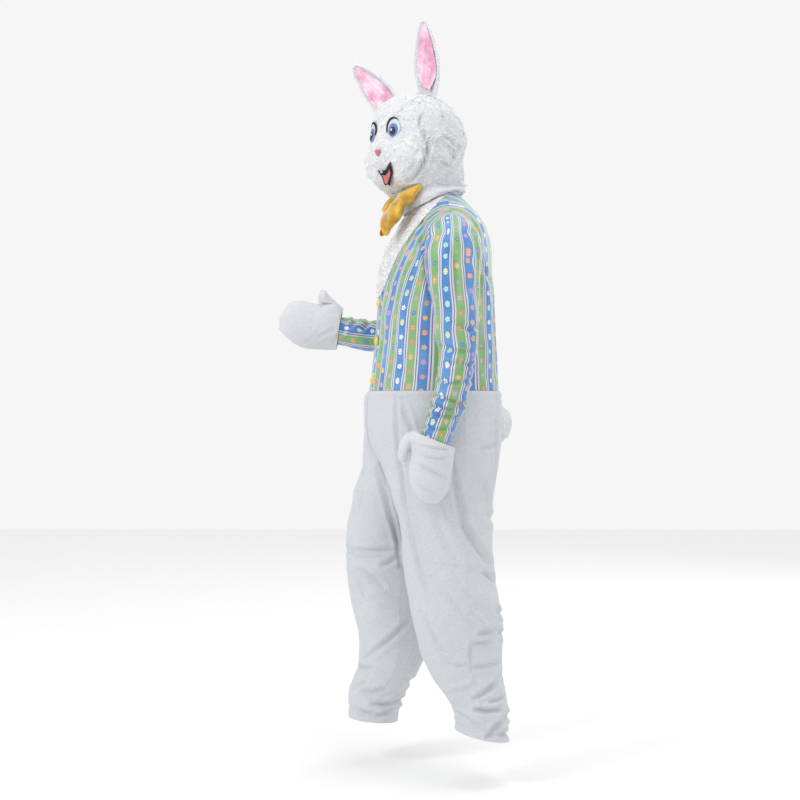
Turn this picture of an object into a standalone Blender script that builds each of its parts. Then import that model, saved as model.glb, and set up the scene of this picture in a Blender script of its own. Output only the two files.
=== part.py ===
# Easter bunny costume, hollow as it is worn: jumpsuit, rabbit head, bow tie, mittens and tail.
# Metres, +Z up. The wearer faces -Y and the wearer's left is +X. The origin lies between the shoulders.
import math

import bpy
import numpy as np
from mathutils import Vector
from mathutils.bvhtree import BVHTree

SEAM = 0.0003  # gap between two sewn pieces
SATIN_WALL = 0.0015  # printed satin
PLUSH_PILE = 0.0025  # how far the plush stands proud of the satin beside it
HEAD_WALL = 0.005  # plush on foam, inside the pile
EAR_WALL = 0.005
BOW_WALL = 0.0012
REST = 0.0006  # gap under a piece that lies on another
LIFT_STEP = 0.00015
ROUNDNESS = 0.92  # 1 is an ellipse, less is squarer

WAIST = -0.516
CROTCH = -0.81
KNEE = -0.962
CHEST_POINT = -0.262  # where the two halves of the collar meet below the bow tie
FRONT_CELLS = 7  # from the centre front to the side seam
NECK_CELLS = 4  # from the shoulder seam to the centre back, along the collar
SIDE_CELLS = 8  # up the side seam
ARMHOLE_CELLS = 8  # up one half of the armhole
COLLAR_CELLS = 3
LEG_CELLS = 10  # from an inner seam to the side seam of a trouser leg

WHITE = (0.90, 0.91, 0.94)
PRINT = (0.30, 0.55, 0.75)
PINK = (0.95, 0.55, 0.68)
GOLD = (0.90, 0.62, 0.10)
YELLOW = (0.90, 0.78, 0.15)
BLACK = (0.02, 0.02, 0.03)
NAVY = (0.03, 0.04, 0.12)
IRIS_BLUE = (0.25, 0.42, 0.75)
CORAL = (0.85, 0.30, 0.30)
NOSE_PINK = (0.85, 0.35, 0.40)

# The trunk of the jumpsuit: level, half width, reach to the front and to the back, turn to the left in degrees.
TRUNK = (
    (-0.516, 0.200, 0.190, 0.150, 15.0),
    (-0.420, 0.200, 0.178, 0.144, 14.0),
    (-0.300, 0.202, 0.168, 0.137, 12.5),
    (-0.215, 0.204, 0.163, 0.134, 11.0),
    (-0.135, 0.206, 0.144, 0.131, 9.0),
    (-0.080, 0.202, 0.112, 0.118, 8.0),
    (-0.050, 0.180, 0.092, 0.101, 7.0),
    (-0.025, 0.142, 0.080, 0.082, 7.0),
    (0.000, 0.106, 0.070, 0.060, 6.0),
    (0.018, 0.082, 0.062, 0.046, 6.0),
    (0.032, 0.070, 0.056, 0.038, 6.0),
)
# The outer edge of the collar from the chest point to the shoulder seam: turn, level.
COLLAR_FRONT_EDGE = (
    (0, CHEST_POINT), (10, -0.253), (18, -0.225), (25, -0.186), (34, -0.145),
    (42, -0.105), (52, -0.070), (70, -0.032), (90, -0.004),
)
# Its outer edge on round the back, past the shoulder seam: turn, level.
COLLAR_BACK_EDGE = ((112, 0.004), (135, 0.008), (157, 0.011), (180, 0.012))
# Its inner edge, up the centre front and round the neck: turn, level.
COLLAR_INNER_EDGE = (
    (0, CHEST_POINT), (0, -0.222), (0, -0.175), (0, -0.122), (0, -0.065), (0, -0.022), (35, 0.004),
    (65, 0.022), (90, 0.032), (112, 0.032), (135, 0.032), (157, 0.032), (180, 0.032),
)
ARMHOLE_MIDDLE = -0.1275  # level
ARMHOLE_HALF_HEIGHT = 0.0725
ARMHOLE_HALF_TURN = 28.0  # degrees round the trunk
SHOULDER = ARMHOLE_MIDDLE + ARMHOLE_HALF_HEIGHT

# Sleeve rings: distance out from the middle, y, level, lean of the ring, pitch of the arm, half width, half
# depth. Pitch is 90 where the arm hangs and 0 where it points forward.
LEFT_SLEEVE = (
    (0.2420, 0.0260, -0.1410, 62, 90, 0.0710, 0.0720),
    (0.2613, 0.0260, -0.1700, 42, 90, 0.0678, 0.0755),
    (0.2715, 0.0250, -0.2125, 21, 90, 0.0627, 0.0720),
    (0.2750, 0.0280, -0.2625, 7, 90, 0.0595, 0.0640),
    (0.2790, 0.0340, -0.3200, 0, 90, 0.0570, 0.0580),
    (0.2820, 0.0320, -0.3770, 0, 90, 0.0550, 0.0570),
    (0.2840, 0.0380, -0.4150, 0, 90, 0.0500, 0.0480),
    (0.2840, 0.0320, -0.4500, 0, 93, 0.0500, 0.0460),
    (0.2820, 0.0270, -0.4900, 0, 96, 0.0490, 0.0460),
    (0.2770, 0.0180, -0.5300, 0, 98, 0.0490, 0.0480),
    (0.2710, 0.0070, -0.5700, 0, 98, 0.0490, 0.0500),
    (0.2680, -0.0080, -0.6100, 0, 98, 0.0450, 0.0460),
    (0.2680, -0.0200, -0.6450, 0, 96, 0.0414, 0.0400),
    (0.2680, -0.0250, -0.6800, 0, 95, 0.0370, 0.0350),
)
RIGHT_SLEEVE = (
    (0.2420, -0.0280, -0.1410, 62, 90, 0.0710, 0.0700),
    (0.2613, -0.0280, -0.1700, 42, 90, 0.0680, 0.0720),
    (0.2720, -0.0240, -0.2070, 21, 90, 0.0630, 0.0680),
    (0.2790, -0.0180, -0.2420, 7, 90, 0.0600, 0.0620),
    (0.2840, -0.0150, -0.2800, 0, 88, 0.0590, 0.0600),
    (0.2870, -0.0260, -0.3150, 0, 60, 0.0580, 0.0590),
    (0.2880, -0.0520, -0.3410, 0, 30, 0.0560, 0.0560),
    (0.2880, -0.0870, -0.3530, 0, 6, 0.0530, 0.0500),
    (0.2880, -0.1300, -0.3560, 0, 0, 0.0500, 0.0470),
    (0.2880, -0.1750, -0.3550, 0, -3, 0.0480, 0.0465),
    (0.2870, -0.2150, -0.3510, 0, -5, 0.0460, 0.0460),
    (0.2860, -0.2500, -0.3465, 0, -6, 0.0440, 0.0440),
    (0.2850, -0.2850, -0.3390, 0, -6, 0.0425, 0.0410),
    (0.2850, -0.3180, -0.3350, 0, -5, 0.0370, 0.0370),
)
SLEEVE_CELLS = 2 * ARMHOLE_CELLS

# The trousers down to the crotch: level, turn, centre of a leg out from the middle, its half width, y of
# the middle, reach to the front and to the back.
HIPS = (
    (-0.810, 30.0, 0.112, 0.112, -0.047, 0.139, 0.1225),
    (-0.770, 28.0, 0.100, 0.122, -0.042, 0.1434, 0.1334),
    (-0.720, 25.0, 0.072, 0.150, -0.032, 0.1495, 0.1470),
    (-0.660, 21.0, 0.035, 0.182, -0.018, 0.1790, 0.1560),
    (-0.600, 18.0, 0.010, 0.203, -0.008, 0.1930, 0.1547),
    (-0.540, 15.5, 0.000, 0.206, -0.001, 0.1985, 0.1540),
    (-0.516, 15.0, 0.000, 0.200, 0.000, 0.1900, 0.1500),
)
# Each leg below the crotch: level, x of its centre, y, half width, half depth, turn, how much lower its
# back is.
LEFT_LEG = (
    (-1.415, 0.115, 0.1040, 0.066, 0.0700, 5.0, 0.016),
    (-1.385, 0.115, 0.1035, 0.069, 0.0680, 5.0, 0.014),
    (-1.358, 0.115, 0.1030, 0.072, 0.0690, 6.0, 0.012),
    (-1.296, 0.116, 0.0800, 0.080, 0.0880, 8.0, 0.008),
    (-1.223, 0.118, 0.0575, 0.088, 0.1050, 10.0, 0.006),
    (-1.150, 0.120, 0.0480, 0.095, 0.1160, 12.0, 0.006),
    (-1.095, 0.120, 0.0410, 0.100, 0.1210, 15.0, 0.010),
    (-1.025, 0.120, 0.0280, 0.103, 0.1200, 18.0, 0.014),
    (-0.962, 0.118, 0.0200, 0.107, 0.1220, 22.0, 0.016),
    (-0.866, 0.111, 0.0110, 0.107, 0.1220, 26.0, 0.008),
    (-0.810, 0.0970, 0.0090, 0.112, 0.1280, 30.0, 0.0),
)
RIGHT_LEG = (
    (-1.424, -0.118, -0.1820, 0.066, 0.0680, 5.0, 0.006),
    (-1.395, -0.118, -0.1806, 0.068, 0.0698, 5.0, 0.006),
    (-1.330, -0.118, -0.1620, 0.076, 0.0760, 6.0, 0.004),
    (-1.272, -0.119, -0.1340, 0.084, 0.0890, 8.0, 0.002),
    (-1.194, -0.121, -0.1270, 0.092, 0.0985, 10.0, 0.0),
    (-1.113, -0.122, -0.1310, 0.098, 0.1110, 12.0, 0.0),
    (-1.026, -0.122, -0.1340, 0.102, 0.1180, 16.0, 0.0),
    (-0.962, -0.119, -0.1360, 0.106, 0.1210, 20.0, 0.0),
    (-0.866, -0.111, -0.1260, 0.107, 0.1260, 26.0, 0.0),
    (-0.810, -0.0970, -0.1030, 0.112, 0.1280, 30.0, 0.0),
)
HIP_LEVELS = (-0.516, -0.545, -0.58, -0.62, -0.66, -0.70, -0.74, -0.777, CROTCH)
THIGH_LEVELS = (-0.845, -0.884, -0.923, KNEE)
SHIN_LEVELS = (-1.0, -1.04, -1.08, -1.12, -1.16, -1.20, -1.24, -1.28, -1.315, -1.35, -1.385)

# Soft folds: turn and level at one end, turn and level at the other, width, height (negative is a trough).
LEFT_LEG_FOLDS = (
    (36, -0.52, 18, -0.80, 0.030, -0.010),
    (12, -0.52, 6, -0.74, 0.026, -0.007),
    (60, -0.52, 62, -0.66, 0.030, -0.005),
    (74, -0.70, 104, -0.92, 0.032, -0.009),
    (104, -0.92, 150, -1.00, 0.030, -0.010),
    (60, -0.98, 120, -1.08, 0.034, 0.007),
    (170, -1.06, 95, -1.17, 0.030, -0.008),
    (185, -1.16, 80, -1.25, 0.028, -0.009),
    (190, -1.24, 70, -1.31, 0.024, -0.008),
    (10, -1.20, 70, -1.33, 0.026, -0.007),
    (180, -1.33, 60, -1.37, 0.022, 0.008),
)
RIGHT_LEG_FOLDS = (
    (36, -0.52, 26, -0.72, 0.030, -0.009),
    (8, -0.52, 6, -0.76, 0.026, -0.007),
    (70, -0.54, 80, -0.78, 0.034, -0.007),
    (-20, -0.97, -50, -1.02, 0.026, -0.008),
    (10, -1.13, -80, -1.04, 0.028, -0.008),
    (30, -1.20, -60, -1.24, 0.026, -0.008),
    (20, -1.28, -70, -1.32, 0.024, -0.009),
    (60, -1.34, -60, -1.36, 0.022, 0.008),
    (170, -1.02, 90, -1.12, 0.034, -0.009),
    (180, -1.20, 80, -1.28, 0.030, -0.009),
)
FOLD_RADIUS = 0.115  # metres round the leg for one radian, to measure a fold's width

# The head: level, reach of the face, reach of the back, half width, all from the head's own upright axis.
HEAD = (
    (0.012, 0.052, 0.136, 0.096),
    (0.027, 0.101, 0.134, 0.105),
    (0.046, 0.118, 0.127, 0.112),
    (0.063, 0.123, 0.121, 0.116),
    (0.081, 0.123, 0.118, 0.118),
    (0.100, 0.126, 0.117, 0.119),
    (0.120, 0.129, 0.122, 0.120),
    (0.142, 0.128, 0.128, 0.120),
    (0.166, 0.1255, 0.133, 0.118),
    (0.192, 0.124, 0.127, 0.115),
    (0.216, 0.120, 0.110, 0.108),
    (0.238, 0.112, 0.088, 0.092),
    (0.258, 0.088, 0.062, 0.070),
    (0.272, 0.054, 0.036, 0.042),
)
JAW_LIFT = (0.026, 0.020, 0.010)  # how much higher the lowest rows are at the back of the head
CROWN = 0.279
CROWN_FORWARD = 0.008  # of the axis
CROWN_ROWS = 2  # the last rows, which the two back pieces cover all round
HEAD_X = 0.028
HEAD_Y = -0.060
HEAD_TURN = 38.0  # degrees to the wearer's left
FACE_EDGE = 58.0  # the face's side seams lie this far round from the nose
FACE_HALF_CELLS = 6
BACK_CELLS = 8  # from a side seam to the centre back
# Forms on the head: turn, level, spread in degrees, spread in metres, height.
HEAD_FORMS = (
    (38, 0.085, 19, 0.034, 0.019),
    (-38, 0.085, 19, 0.034, 0.019),
    (0, 0.110, 13, 0.017, 0.012),
    (0, 0.050, 13, 0.023, -0.022),
    (0, 0.180, 14, 0.040, -0.004),
    (150, 0.150, 16, 0.030, 0.005),
    (-150, 0.120, 18, 0.034, 0.005),
    (105, 0.080, 18, 0.026, 0.006),
    (-105, 0.080, 18, 0.026, 0.006),
)
# Lower edge of the neck skirt, where it rests on the collar: turn, level.
SKIRT_EDGE = ((0, -0.044), (45, -0.030), (75, -0.010), (105, 0.006), (180, 0.009))
SKIRT_ROWS = 4
SKIRT_REST = 0.0009  # over the collar
NECK_ROOM = 0.016  # from the collar's cloth to the outside of the head round it
NECK_CLEAR_TOP = 0.070
SKIRT_ROLL = 0.010
SKIRT_ROLL_LEAST = 0.25  # share of the roll at the front, under the chin
SKIRT_ROLL_TURN = 80.0  # degrees from there to its full height
SKIRT_ROLL_LOW = 1.25  # above 1 the roll lies in the lower part of the skirt
RIM_SHARPEST = 0.15  # keeps a sharp corner of a rim from being drawn in too far
FOLD_END = 0.03  # folds fade out this far below the waist
FOLD_SEAM = 6.0  # and over a sixth of a panel's turn beside the centre seams

EYE_TURN = 21.0
EYE_LEVEL = 0.1680
EYE_HALF_WIDTH = 0.0195
EYE_HALF_HEIGHT = 0.0245
TRIM_THICK = 0.0010
LID_CELLS = 8
LID_START = 110.0  # degrees from the top of the eye to its inner end
LID_SWEEP = 150.0
LID_EDGE = 0.0010
LID_GAP = 0.0010
LID_REST = 0.0010
LID_HEAVY = 0.0046
LID_PEAK = 0.15  # the crescent's share of a half turn before its inner end
EYE_SQUINT = 3.0  # degrees that an eye looks further to the side than its place on the head
IRIS = (0.0150, 0.0180, -0.001, -0.0055)  # half width, half height, towards the nose, up
PUPIL = (0.0090, 0.0110, -0.001, -0.0080)
GLINT = (0.0030, 0.0036, -0.0050, -0.0050)
TONGUE_WIDTH = 0.66  # of the mouth
TONGUE_HEIGHT = 0.5
TONGUE_ASIDE = 0.003
TONGUE_LOW = 0.0055
UPPER_TOOTH_RISE = 0.0085  # from the middle of the mouth
LOWER_TOOTH_RISE = -0.0222
REACH = 0.12  # where rays towards a surface start
NOSE_LEVEL = 0.108
NOSE_DOME = 0.004
MOUTH_LEVEL = 0.052
# Outlines of the face trims, to the side and up.
NOSE = (
    (-0.0125, 0.006), (-0.006, 0.0085), (0, 0.008), (0.006, 0.0085), (0.0125, 0.006),
    (0.009, -0.002), (0.003, -0.009), (-0.003, -0.009), (-0.009, -0.002),
)
MOUTH = (
    (-0.021, 0.014), (-0.010, 0.0110), (0.004, 0.011), (0.018, 0.014), (0.032, 0.020), (0.045, 0.028),
    (0.043, 0.013), (0.035, -0.006), (0.022, -0.021), (0.008, -0.027), (-0.005, -0.021), (-0.014, -0.004),
)
UPPER_TOOTH = ((-0.013, 0.002), (-0.006, 0.002), (-0.0066, -0.002), (-0.0124, -0.002))
LOWER_TOOTH = ((0.002, 0.0022), (0.014, 0.0022), (0.011, -0.0024), (0.005, -0.0024))

# Ears: base, tip, the way the satin looks, half width at the widest, how far the middle leans that way.
EARS = {
    "left": ((0.066, -0.030, 0.240), (0.072, -0.0445, 0.463), (0.80, -0.60, 0.0), 0.041, -0.006),
    "right": ((-0.055, -0.118, 0.238), (-0.130, -0.235, 0.392), (0.85, -0.45, -0.10), 0.0425, -0.008),
}
EAR_ROWS = (0.0, 0.07, 0.17, 0.28, 0.40, 0.52, 0.64, 0.75, 0.84, 0.91, 0.96, 1.0)
EAR_COLUMNS = (-1.0, -0.78, -0.52, -0.26, 0.0, 0.26, 0.52, 0.78, 1.0)
EAR_PROFILE = ((0.0, 0.60), (0.15, 0.84), (0.35, 1.0), (0.6, 0.86), (0.8, 0.62), (0.93, 0.36), (1.0, 0.14))
EAR_CUP = 0.35  # depth of the hollow for its half width
EAR_CUP_MIDDLE = 0.4  # how far the middle lies behind the plane through base and tip
EAR_CUP_TIP = 0.35  # how much flatter the tip is
EAR_LINING = 0.0012

# Bow tie: where the knot is, the way the left loop runs, the loops' height and the turn of the whole bow.
BOW_MIDDLE = Vector((0.034, -0.139, -0.020))
BOW_OUT = Vector((0.100, 0.034, -0.030))
BOW_UP = Vector((0.0, 0.60, 0.80))
BOW_TURN = 9.0
BOW_CELLS = 8
BOW_START = 0.0165
BOW_SLANT = 0.0008  # more room beside the knot for the right loop, which meets it at a slant
BOW_LONG = 0.112
BOW_KNOT_HALF = 0.017
BOW_END_HALF = 0.073
BOW_PLEAT = 0.0035
BOW_CLEAR = 0.0019  # of the back of a loop from the skirt and the collar
BOW_CLEAR_FAR = 0.0036  # the same for the right loop, which crosses the skirt at a slant
BOW_BACK = -0.0165
BOW_UNDER_CHIN = 0.66  # the right loop is pressed smaller below the turned chin
BOW_DROOP = Vector((0.0, -0.04, -0.08))  # of the loop on the wearer's right
BOW_FLARE = 0.8  # below 1 a loop widens sooner beside the knot
BOW_PLEAT_WAVES = 2.5  # half waves of pleats across half a loop
BOW_CORNER = 0.08  # how much shorter a loop is at its corners
BOW_EDGE_FLAT = 0.3  # how much flatter it is at its upper and lower edge
# Section of a loop from the knot out along its back and in along its front: share of its length, forward.
BOW_SECTION = (
    (0.0, -0.003), (0.16, -0.0075), (0.35, -0.0125), (0.55, -0.0160), (0.75, -0.0165), (0.90, -0.0125),
    (0.98, -0.0060), (1.0, 0.0010), (0.98, 0.0080), (0.90, 0.0145), (0.75, 0.0190), (0.55, 0.0185),
    (0.35, 0.0145), (0.16, 0.0085), (0.0, 0.003),
)
KNOT_CELLS = 16
KNOT_HALF_WIDTH = 0.0162
KNOT_HALF_DEPTH = 0.0115
KNOT_HALF_HEIGHT = 0.0215
KNOT_TAPER = 0.45
KNOT_RINGS = 7

TAIL_LEVEL = -0.609
TAIL_RADIUS = 0.054
TAIL_REACH = 0.046
TAIL_EDGE = 0.004
BUTTON_LEVELS = {"upper": -0.282, "middle": -0.383, "lower": -0.487}
BUTTON_RADIUS = 0.013
BUTTON_EDGE = 0.0025
BUTTON_DOME = 0.005

# Mittens, from the cuff to the tip: share, one edge (y, level), the other edge (y, level), half thickness.
LEFT_MITTEN = (
    (0.00, -0.0736, -0.618, 0.0276, -0.659, 0.0445),
    (0.20, -0.0800, -0.655, 0.0250, -0.680, 0.0445),
    (0.42, -0.0830, -0.695, 0.0225, -0.705, 0.0400),
    (0.60, -0.0830, -0.725, 0.0190, -0.730, 0.0350),
    (0.77, -0.0780, -0.755, 0.0150, -0.755, 0.0290),
    (0.91, -0.0640, -0.780, 0.0040, -0.778, 0.0200),
    (1.00, -0.0400, -0.797, -0.0120, -0.796, 0.0),
)
RIGHT_MITTEN = (
    (0.00, -0.275, -0.275, -0.292, -0.392, 0.0450),
    (0.16, -0.300, -0.262, -0.325, -0.392, 0.0450),
    (0.36, -0.352, -0.264, -0.355, -0.390, 0.0400),
    (0.56, -0.385, -0.254, -0.385, -0.388, 0.0350),
    (0.74, -0.415, -0.254, -0.415, -0.374, 0.0290),
    (0.89, -0.440, -0.272, -0.440, -0.353, 0.0200),
    (1.00, -0.457, -0.305, -0.457, -0.334, 0.0),
)
# Thumbs, from the root on the mitten's edge to the tip: both edges and the half thickness.
LEFT_THUMB = (
    (0, 0, 0, 0, 0.0160),
    (-0.0930, -0.6250, -0.0862, -0.6680, 0.0160),
    (-0.1040, -0.6400, -0.0880, -0.6705, 0.0155),
    (-0.1100, -0.6600, -0.0890, -0.6755, 0.0145),
    (-0.1120, -0.6800, -0.0900, -0.6850, 0.0110),
    (-0.1080, -0.6945, -0.0940, -0.6945, 0.0),
)
RIGHT_THUMB = (
    (0, 0, 0, 0, 0.0160),
    (-0.296, -0.256, -0.343, -0.256, 0.0160),
    (-0.307, -0.246, -0.344, -0.246, 0.0150),
    (-0.316, -0.237, -0.342, -0.237, 0.0130),
    (-0.322, -0.230, -0.339, -0.230, 0.0090),
    (-0.3245, -0.2235, -0.3370, -0.2235, 0.0),
)
MITTEN_CELLS = 6
MITTEN_ROWS = 8
MITTEN_SQUARE = 2.3
THUMB_CELLS = 4
LEFT_MITTEN_PLANE = 0.268
RIGHT_MITTEN_PLANE = -0.285
THUMB_ROOT = 0.27  # share of the mitten's length that the thumb grows from


def smooth(table, at):
    """A table's other columns at a value of its first, on a smooth curve through the rows."""
    rows = np.array(table, float)
    first, values = rows[:, 0], rows[:, 1:]
    at = min(max(at, first[0]), first[-1])
    k = int(np.clip(np.searchsorted(first, at) - 1, 0, len(first) - 2))
    slope = np.gradient(values, first, axis=0)
    step = first[k + 1] - first[k]
    f = (at - first[k]) / step
    start = values[k] * (2 * f**3 - 3 * f**2 + 1) + slope[k] * step * (f**3 - 2 * f**2 + f)
    end = values[k + 1] * (3 * f**2 - 2 * f**3) + slope[k + 1] * step * (f**3 - f**2)
    return start + end


def squared(value):
    return math.copysign(abs(value) ** ROUNDNESS, value)


def turned(x, y, degrees):
    a = math.radians(degrees)
    return x * math.cos(a) - y * math.sin(a), x * math.sin(a) + y * math.cos(a)


def egg(turn, half_width, front, back):
    """A point of a rounded ring: turn 0 is the front, 90 the left side, 180 the back."""
    a = math.radians(turn)
    reach = front if math.cos(a) > 0 else back
    return half_width * squared(math.sin(a)), -reach * squared(math.cos(a))


def trunk(turn, level):
    half_width, front, back, yaw = smooth(TRUNK, level)
    x, y = turned(*egg(turn, half_width, front, back), yaw)
    return Vector((x, y, level))


def trunk_normal(turn, level):
    along = trunk(turn + 1, level) - trunk(turn - 1, level)
    up = trunk(turn, level + 0.002) - trunk(turn, level - 0.002)
    return along.cross(up).normalized()


def blend(a, b, f):
    return tuple(p + (q - p) * f for p, q in zip(a, b))


def line(a, b, cells):
    return [blend(a, b, i / cells) for i in range(cells + 1)]


def patch(bottom, top, left, right):
    """Rows of points that fill four edges given as turn and level."""
    rows = []
    for i in range(len(left)):
        v = i / (len(left) - 1)
        row = []
        for j in range(len(bottom)):
            u = j / (len(bottom) - 1)
            across = blend(left[i], right[i], u)
            along = blend(bottom[j], top[j], v)
            corners = blend(blend(bottom[0], bottom[-1], u), blend(top[0], top[-1], u), v)
            row.append(tuple(p + q - r for p, q, r in zip(across, along, corners)))
        rows.append(row)
    return rows


class Cloth:
    """Sewn pieces that share the points of their seams, so that their walls meet end to end."""

    def __init__(self):
        self.points = []
        self.index = {}
        self.pieces = {}
        self.level_rim = set()

    def point(self, place):
        key = tuple(round(c * 50000) for c in place)
        if key not in self.index:
            self.index[key] = len(self.points)
            self.points.append(Vector(place))
        return self.index[key]

    def grid(self, piece, rows, closed=False):
        """Adds faces that look outwards where the rows go up and each row runs to the wearer's left."""
        ids = [[self.point(p) for p in row] for row in rows]
        faces = self.pieces.setdefault(piece, [])
        for lower, upper in zip(ids, ids[1:]):
            count = len(lower) if closed else len(lower) - 1
            for j in range(count):
                k = (j + 1) % len(lower)
                corners = [lower[j], lower[k], upper[k], upper[j]]
                kept = [c for i, c in enumerate(corners) if c != corners[i - 1]]
                if len(set(kept)) >= 3:
                    faces.append(tuple(kept))
        return ids

    def normals(self):
        sums = [Vector((0, 0, 0)) for _ in self.points]
        for faces in self.pieces.values():
            for face in faces:
                a, b, c, d = (self.points[face[i % len(face)]] for i in (0, 1, 2, 3))
                normal = (c - a).cross(d - b) if len(face) == 4 else (b - a).cross(c - a)
                for i in face:
                    sums[i] += normal.normalized()
        for i in self.level_rim:
            sums[i].z = 0
        return [s.normalized() for s in sums]

    def tree(self, normals, pile, pieces=()):
        """The outer surface with no seam gaps, for what lies on it."""
        points = [p + n * pile for p, n in zip(self.points, normals)]
        faces = [face for piece in pieces or self.pieces for face in self.pieces[piece]]
        faces = [part for face in faces for part in split(points, face)]
        return BVHTree.FromPolygons(points, faces)

    def make(self, normals, piece, pile, wall, colour, roughness=0.9):
        faces = self.pieces[piece]
        used = sorted({i for face in faces for i in face})
        place = {i: k for k, i in enumerate(used)}
        outer = [self.points[i] + normals[i] * pile for i in used]
        inner = [self.points[i] - normals[i] * wall for i in used]
        return solid(piece, outer, inner, [tuple(place[i] for i in face) for face in faces], colour, roughness)


def open_edges(faces):
    """Each edge that only one face has, in the direction of that face."""
    edges = {(a, b) for face in faces for a, b in zip(face, face[1:] + face[:1])}
    return [(a, b) for a, b in edges if (b, a) not in edges]


# Both pieces of a seam split their rims along the same diagonal, picked by this direction.
RIM_ORDER = Vector((0.61, 0.37, 0.70))


def drawn_in(points, faces, gap):
    """The points, with both open edges at each rim point moved into the piece by half a seam gap."""
    edges = open_edges(faces)
    before, after = {b: a for a, b in edges}, {a: b for a, b in edges}
    normals = {i: Vector((0, 0, 0)) for i in after}
    for face in faces:
        normal = (points[face[1]] - points[face[0]]).cross(points[face[-1]] - points[face[0]])
        for i in face:
            if i in normals:
                normals[i] += normal
    moved = list(points)
    for i, normal in normals.items():
        along = [(points[i] - points[before[i]]), (points[after[i]] - points[i])]
        inward = [normal.cross(edge).normalized() for edge in along]
        sharp = max(RIM_SHARPEST, 1 + inward[0].dot(inward[1]))
        moved[i] = points[i] + (inward[0] + inward[1]) * (gap / 2 / sharp)
    return moved


def split(points, face):
    """A face as triangles, cut along its shorter diagonal."""
    if len(face) == 3:
        return [face]
    a, b, c, d = face
    if (points[a] - points[c]).length < (points[b] - points[d]).length:
        return [(a, b, c), (a, c, d)]
    return [(a, b, d), (b, c, d)]


def solid(name, outer, inner, faces, colour, roughness=0.9, gap=SEAM):
    """One closed solid from an outer and an inner face with a rim along every open edge."""
    cuts = [part for face in faces for part in split(outer, face)]
    outer, inner = drawn_in(outer, faces, gap), drawn_in(inner, faces, gap)
    count = len(outer)
    triangles = []
    for a, b, c in cuts:
        triangles += [(a, b, c), (c + count, b + count, a + count)]
    for a, b in open_edges(faces):
        if outer[a].dot(RIM_ORDER) < outer[b].dot(RIM_ORDER):
            triangles += [(b, a, a + count), (b, a + count, b + count)]
        else:
            triangles += [(b, a, b + count), (a, a + count, b + count)]
    return body(name, outer + inner, triangles, colour, roughness)


def body(name, points, triangles, colour, roughness):
    volume = sum(points[a].dot(points[b].cross(points[c])) for a, b, c in triangles)
    if volume < 0:
        triangles = [t[::-1] for t in triangles]
    mesh = bpy.data.meshes.new(name)
    mesh.from_pydata([tuple(p) for p in points], [], triangles)
    mesh.validate()
    mesh.shade_smooth()
    mesh.set_sharp_from_angle(angle=math.radians(50))
    piece = bpy.data.objects.new(name, mesh)
    bpy.context.scene.collection.objects.link(piece)
    material = bpy.data.materials.new(name)
    material.use_nodes = True
    shader = material.node_tree.nodes["Principled BSDF"]
    shader.inputs["Base Color"].default_value = (*colour, 1)
    shader.inputs["Roughness"].default_value = roughness
    mesh.materials.append(material)
    return piece


def relief(folds, turn, level, radius):
    """How far soft folds move a point of the cloth along its normal."""
    total = 0.0
    for turn_a, level_a, turn_b, level_b, width, height in folds:
        ax, bx, px = (math.radians(t) * radius for t in (turn_a, turn_b, turn))
        long = math.hypot(bx - ax, level_b - level_a)
        f = ((px - ax) * (bx - ax) + (level - level_a) * (level_b - level_a)) / long**2
        f = min(max(f, 0.0), 1.0)
        away = math.hypot(px - ax - f * (bx - ax), level - level_a - f * (level_b - level_a))
        total += height * math.exp(-((away / width) ** 2)) * (1 - 0.5 * (2 * f - 1) ** 2)
    return total


def armhole(front):
    """Turn and level up one half of the armhole, from the armpit to the shoulder."""
    edge = []
    for i in range(ARMHOLE_CELLS + 1):
        a = math.pi * i / ARMHOLE_CELLS
        swing = ARMHOLE_HALF_TURN * abs(math.sin(a)) ** 0.8
        turn = 90 - swing if front else 90 + swing
        edge.append((turn, ARMHOLE_MIDDLE - ARMHOLE_HALF_HEIGHT * math.cos(a)))
    edge[0], edge[-1] = (90, ARMHOLE_MIDDLE - ARMHOLE_HALF_HEIGHT), (90, SHOULDER)
    return edge


def shown(rows, side):
    """Turns and levels as places on the trunk, mirrored for the right."""
    return [[trunk(side * turn, level) for turn, level in (row if side > 0 else row[::-1])] for row in rows]


def sew_top(cloth, side, name):
    """One half of the jumpsuit's top with its collar."""
    side_seam = line((90, WAIST), (90, ARMHOLE_MIDDLE - ARMHOLE_HALF_HEIGHT), SIDE_CELLS)
    front_seam = line((0, WAIST), (0, CHEST_POINT), SIDE_CELLS)
    collar_edge = list(COLLAR_FRONT_EDGE)
    shoulder_seam = line(collar_edge[-1], (90, SHOULDER), FRONT_CELLS)
    front = patch(
        line((0, WAIST), (90, WAIST), FRONT_CELLS),
        shoulder_seam,
        front_seam + collar_edge[1:],
        side_seam + armhole(True)[1:],
    )
    cloth.grid(f"top_front_{name}", shown(front, side))
    nape = list(COLLAR_BACK_EDGE)[::-1]
    back = patch(
        line((180, WAIST), (90, WAIST), FRONT_CELLS),
        shoulder_seam,
        line((180, WAIST), nape[0], SIDE_CELLS + ARMHOLE_CELLS - NECK_CELLS) + nape[1:] + collar_edge[-1:],
        side_seam + armhole(False)[1:],
    )
    cloth.grid(f"top_back_{name}", shown([row[::-1] for row in back], side))
    outer_edge = collar_edge + list(COLLAR_BACK_EDGE)
    collar = [line(a, b, COLLAR_CELLS) for a, b in zip(outer_edge, COLLAR_INNER_EDGE)]
    upright = [[row[k] for row in collar] for k in range(COLLAR_CELLS + 1)]
    cloth.grid(f"collar_{name}", shown(upright, side))


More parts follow.
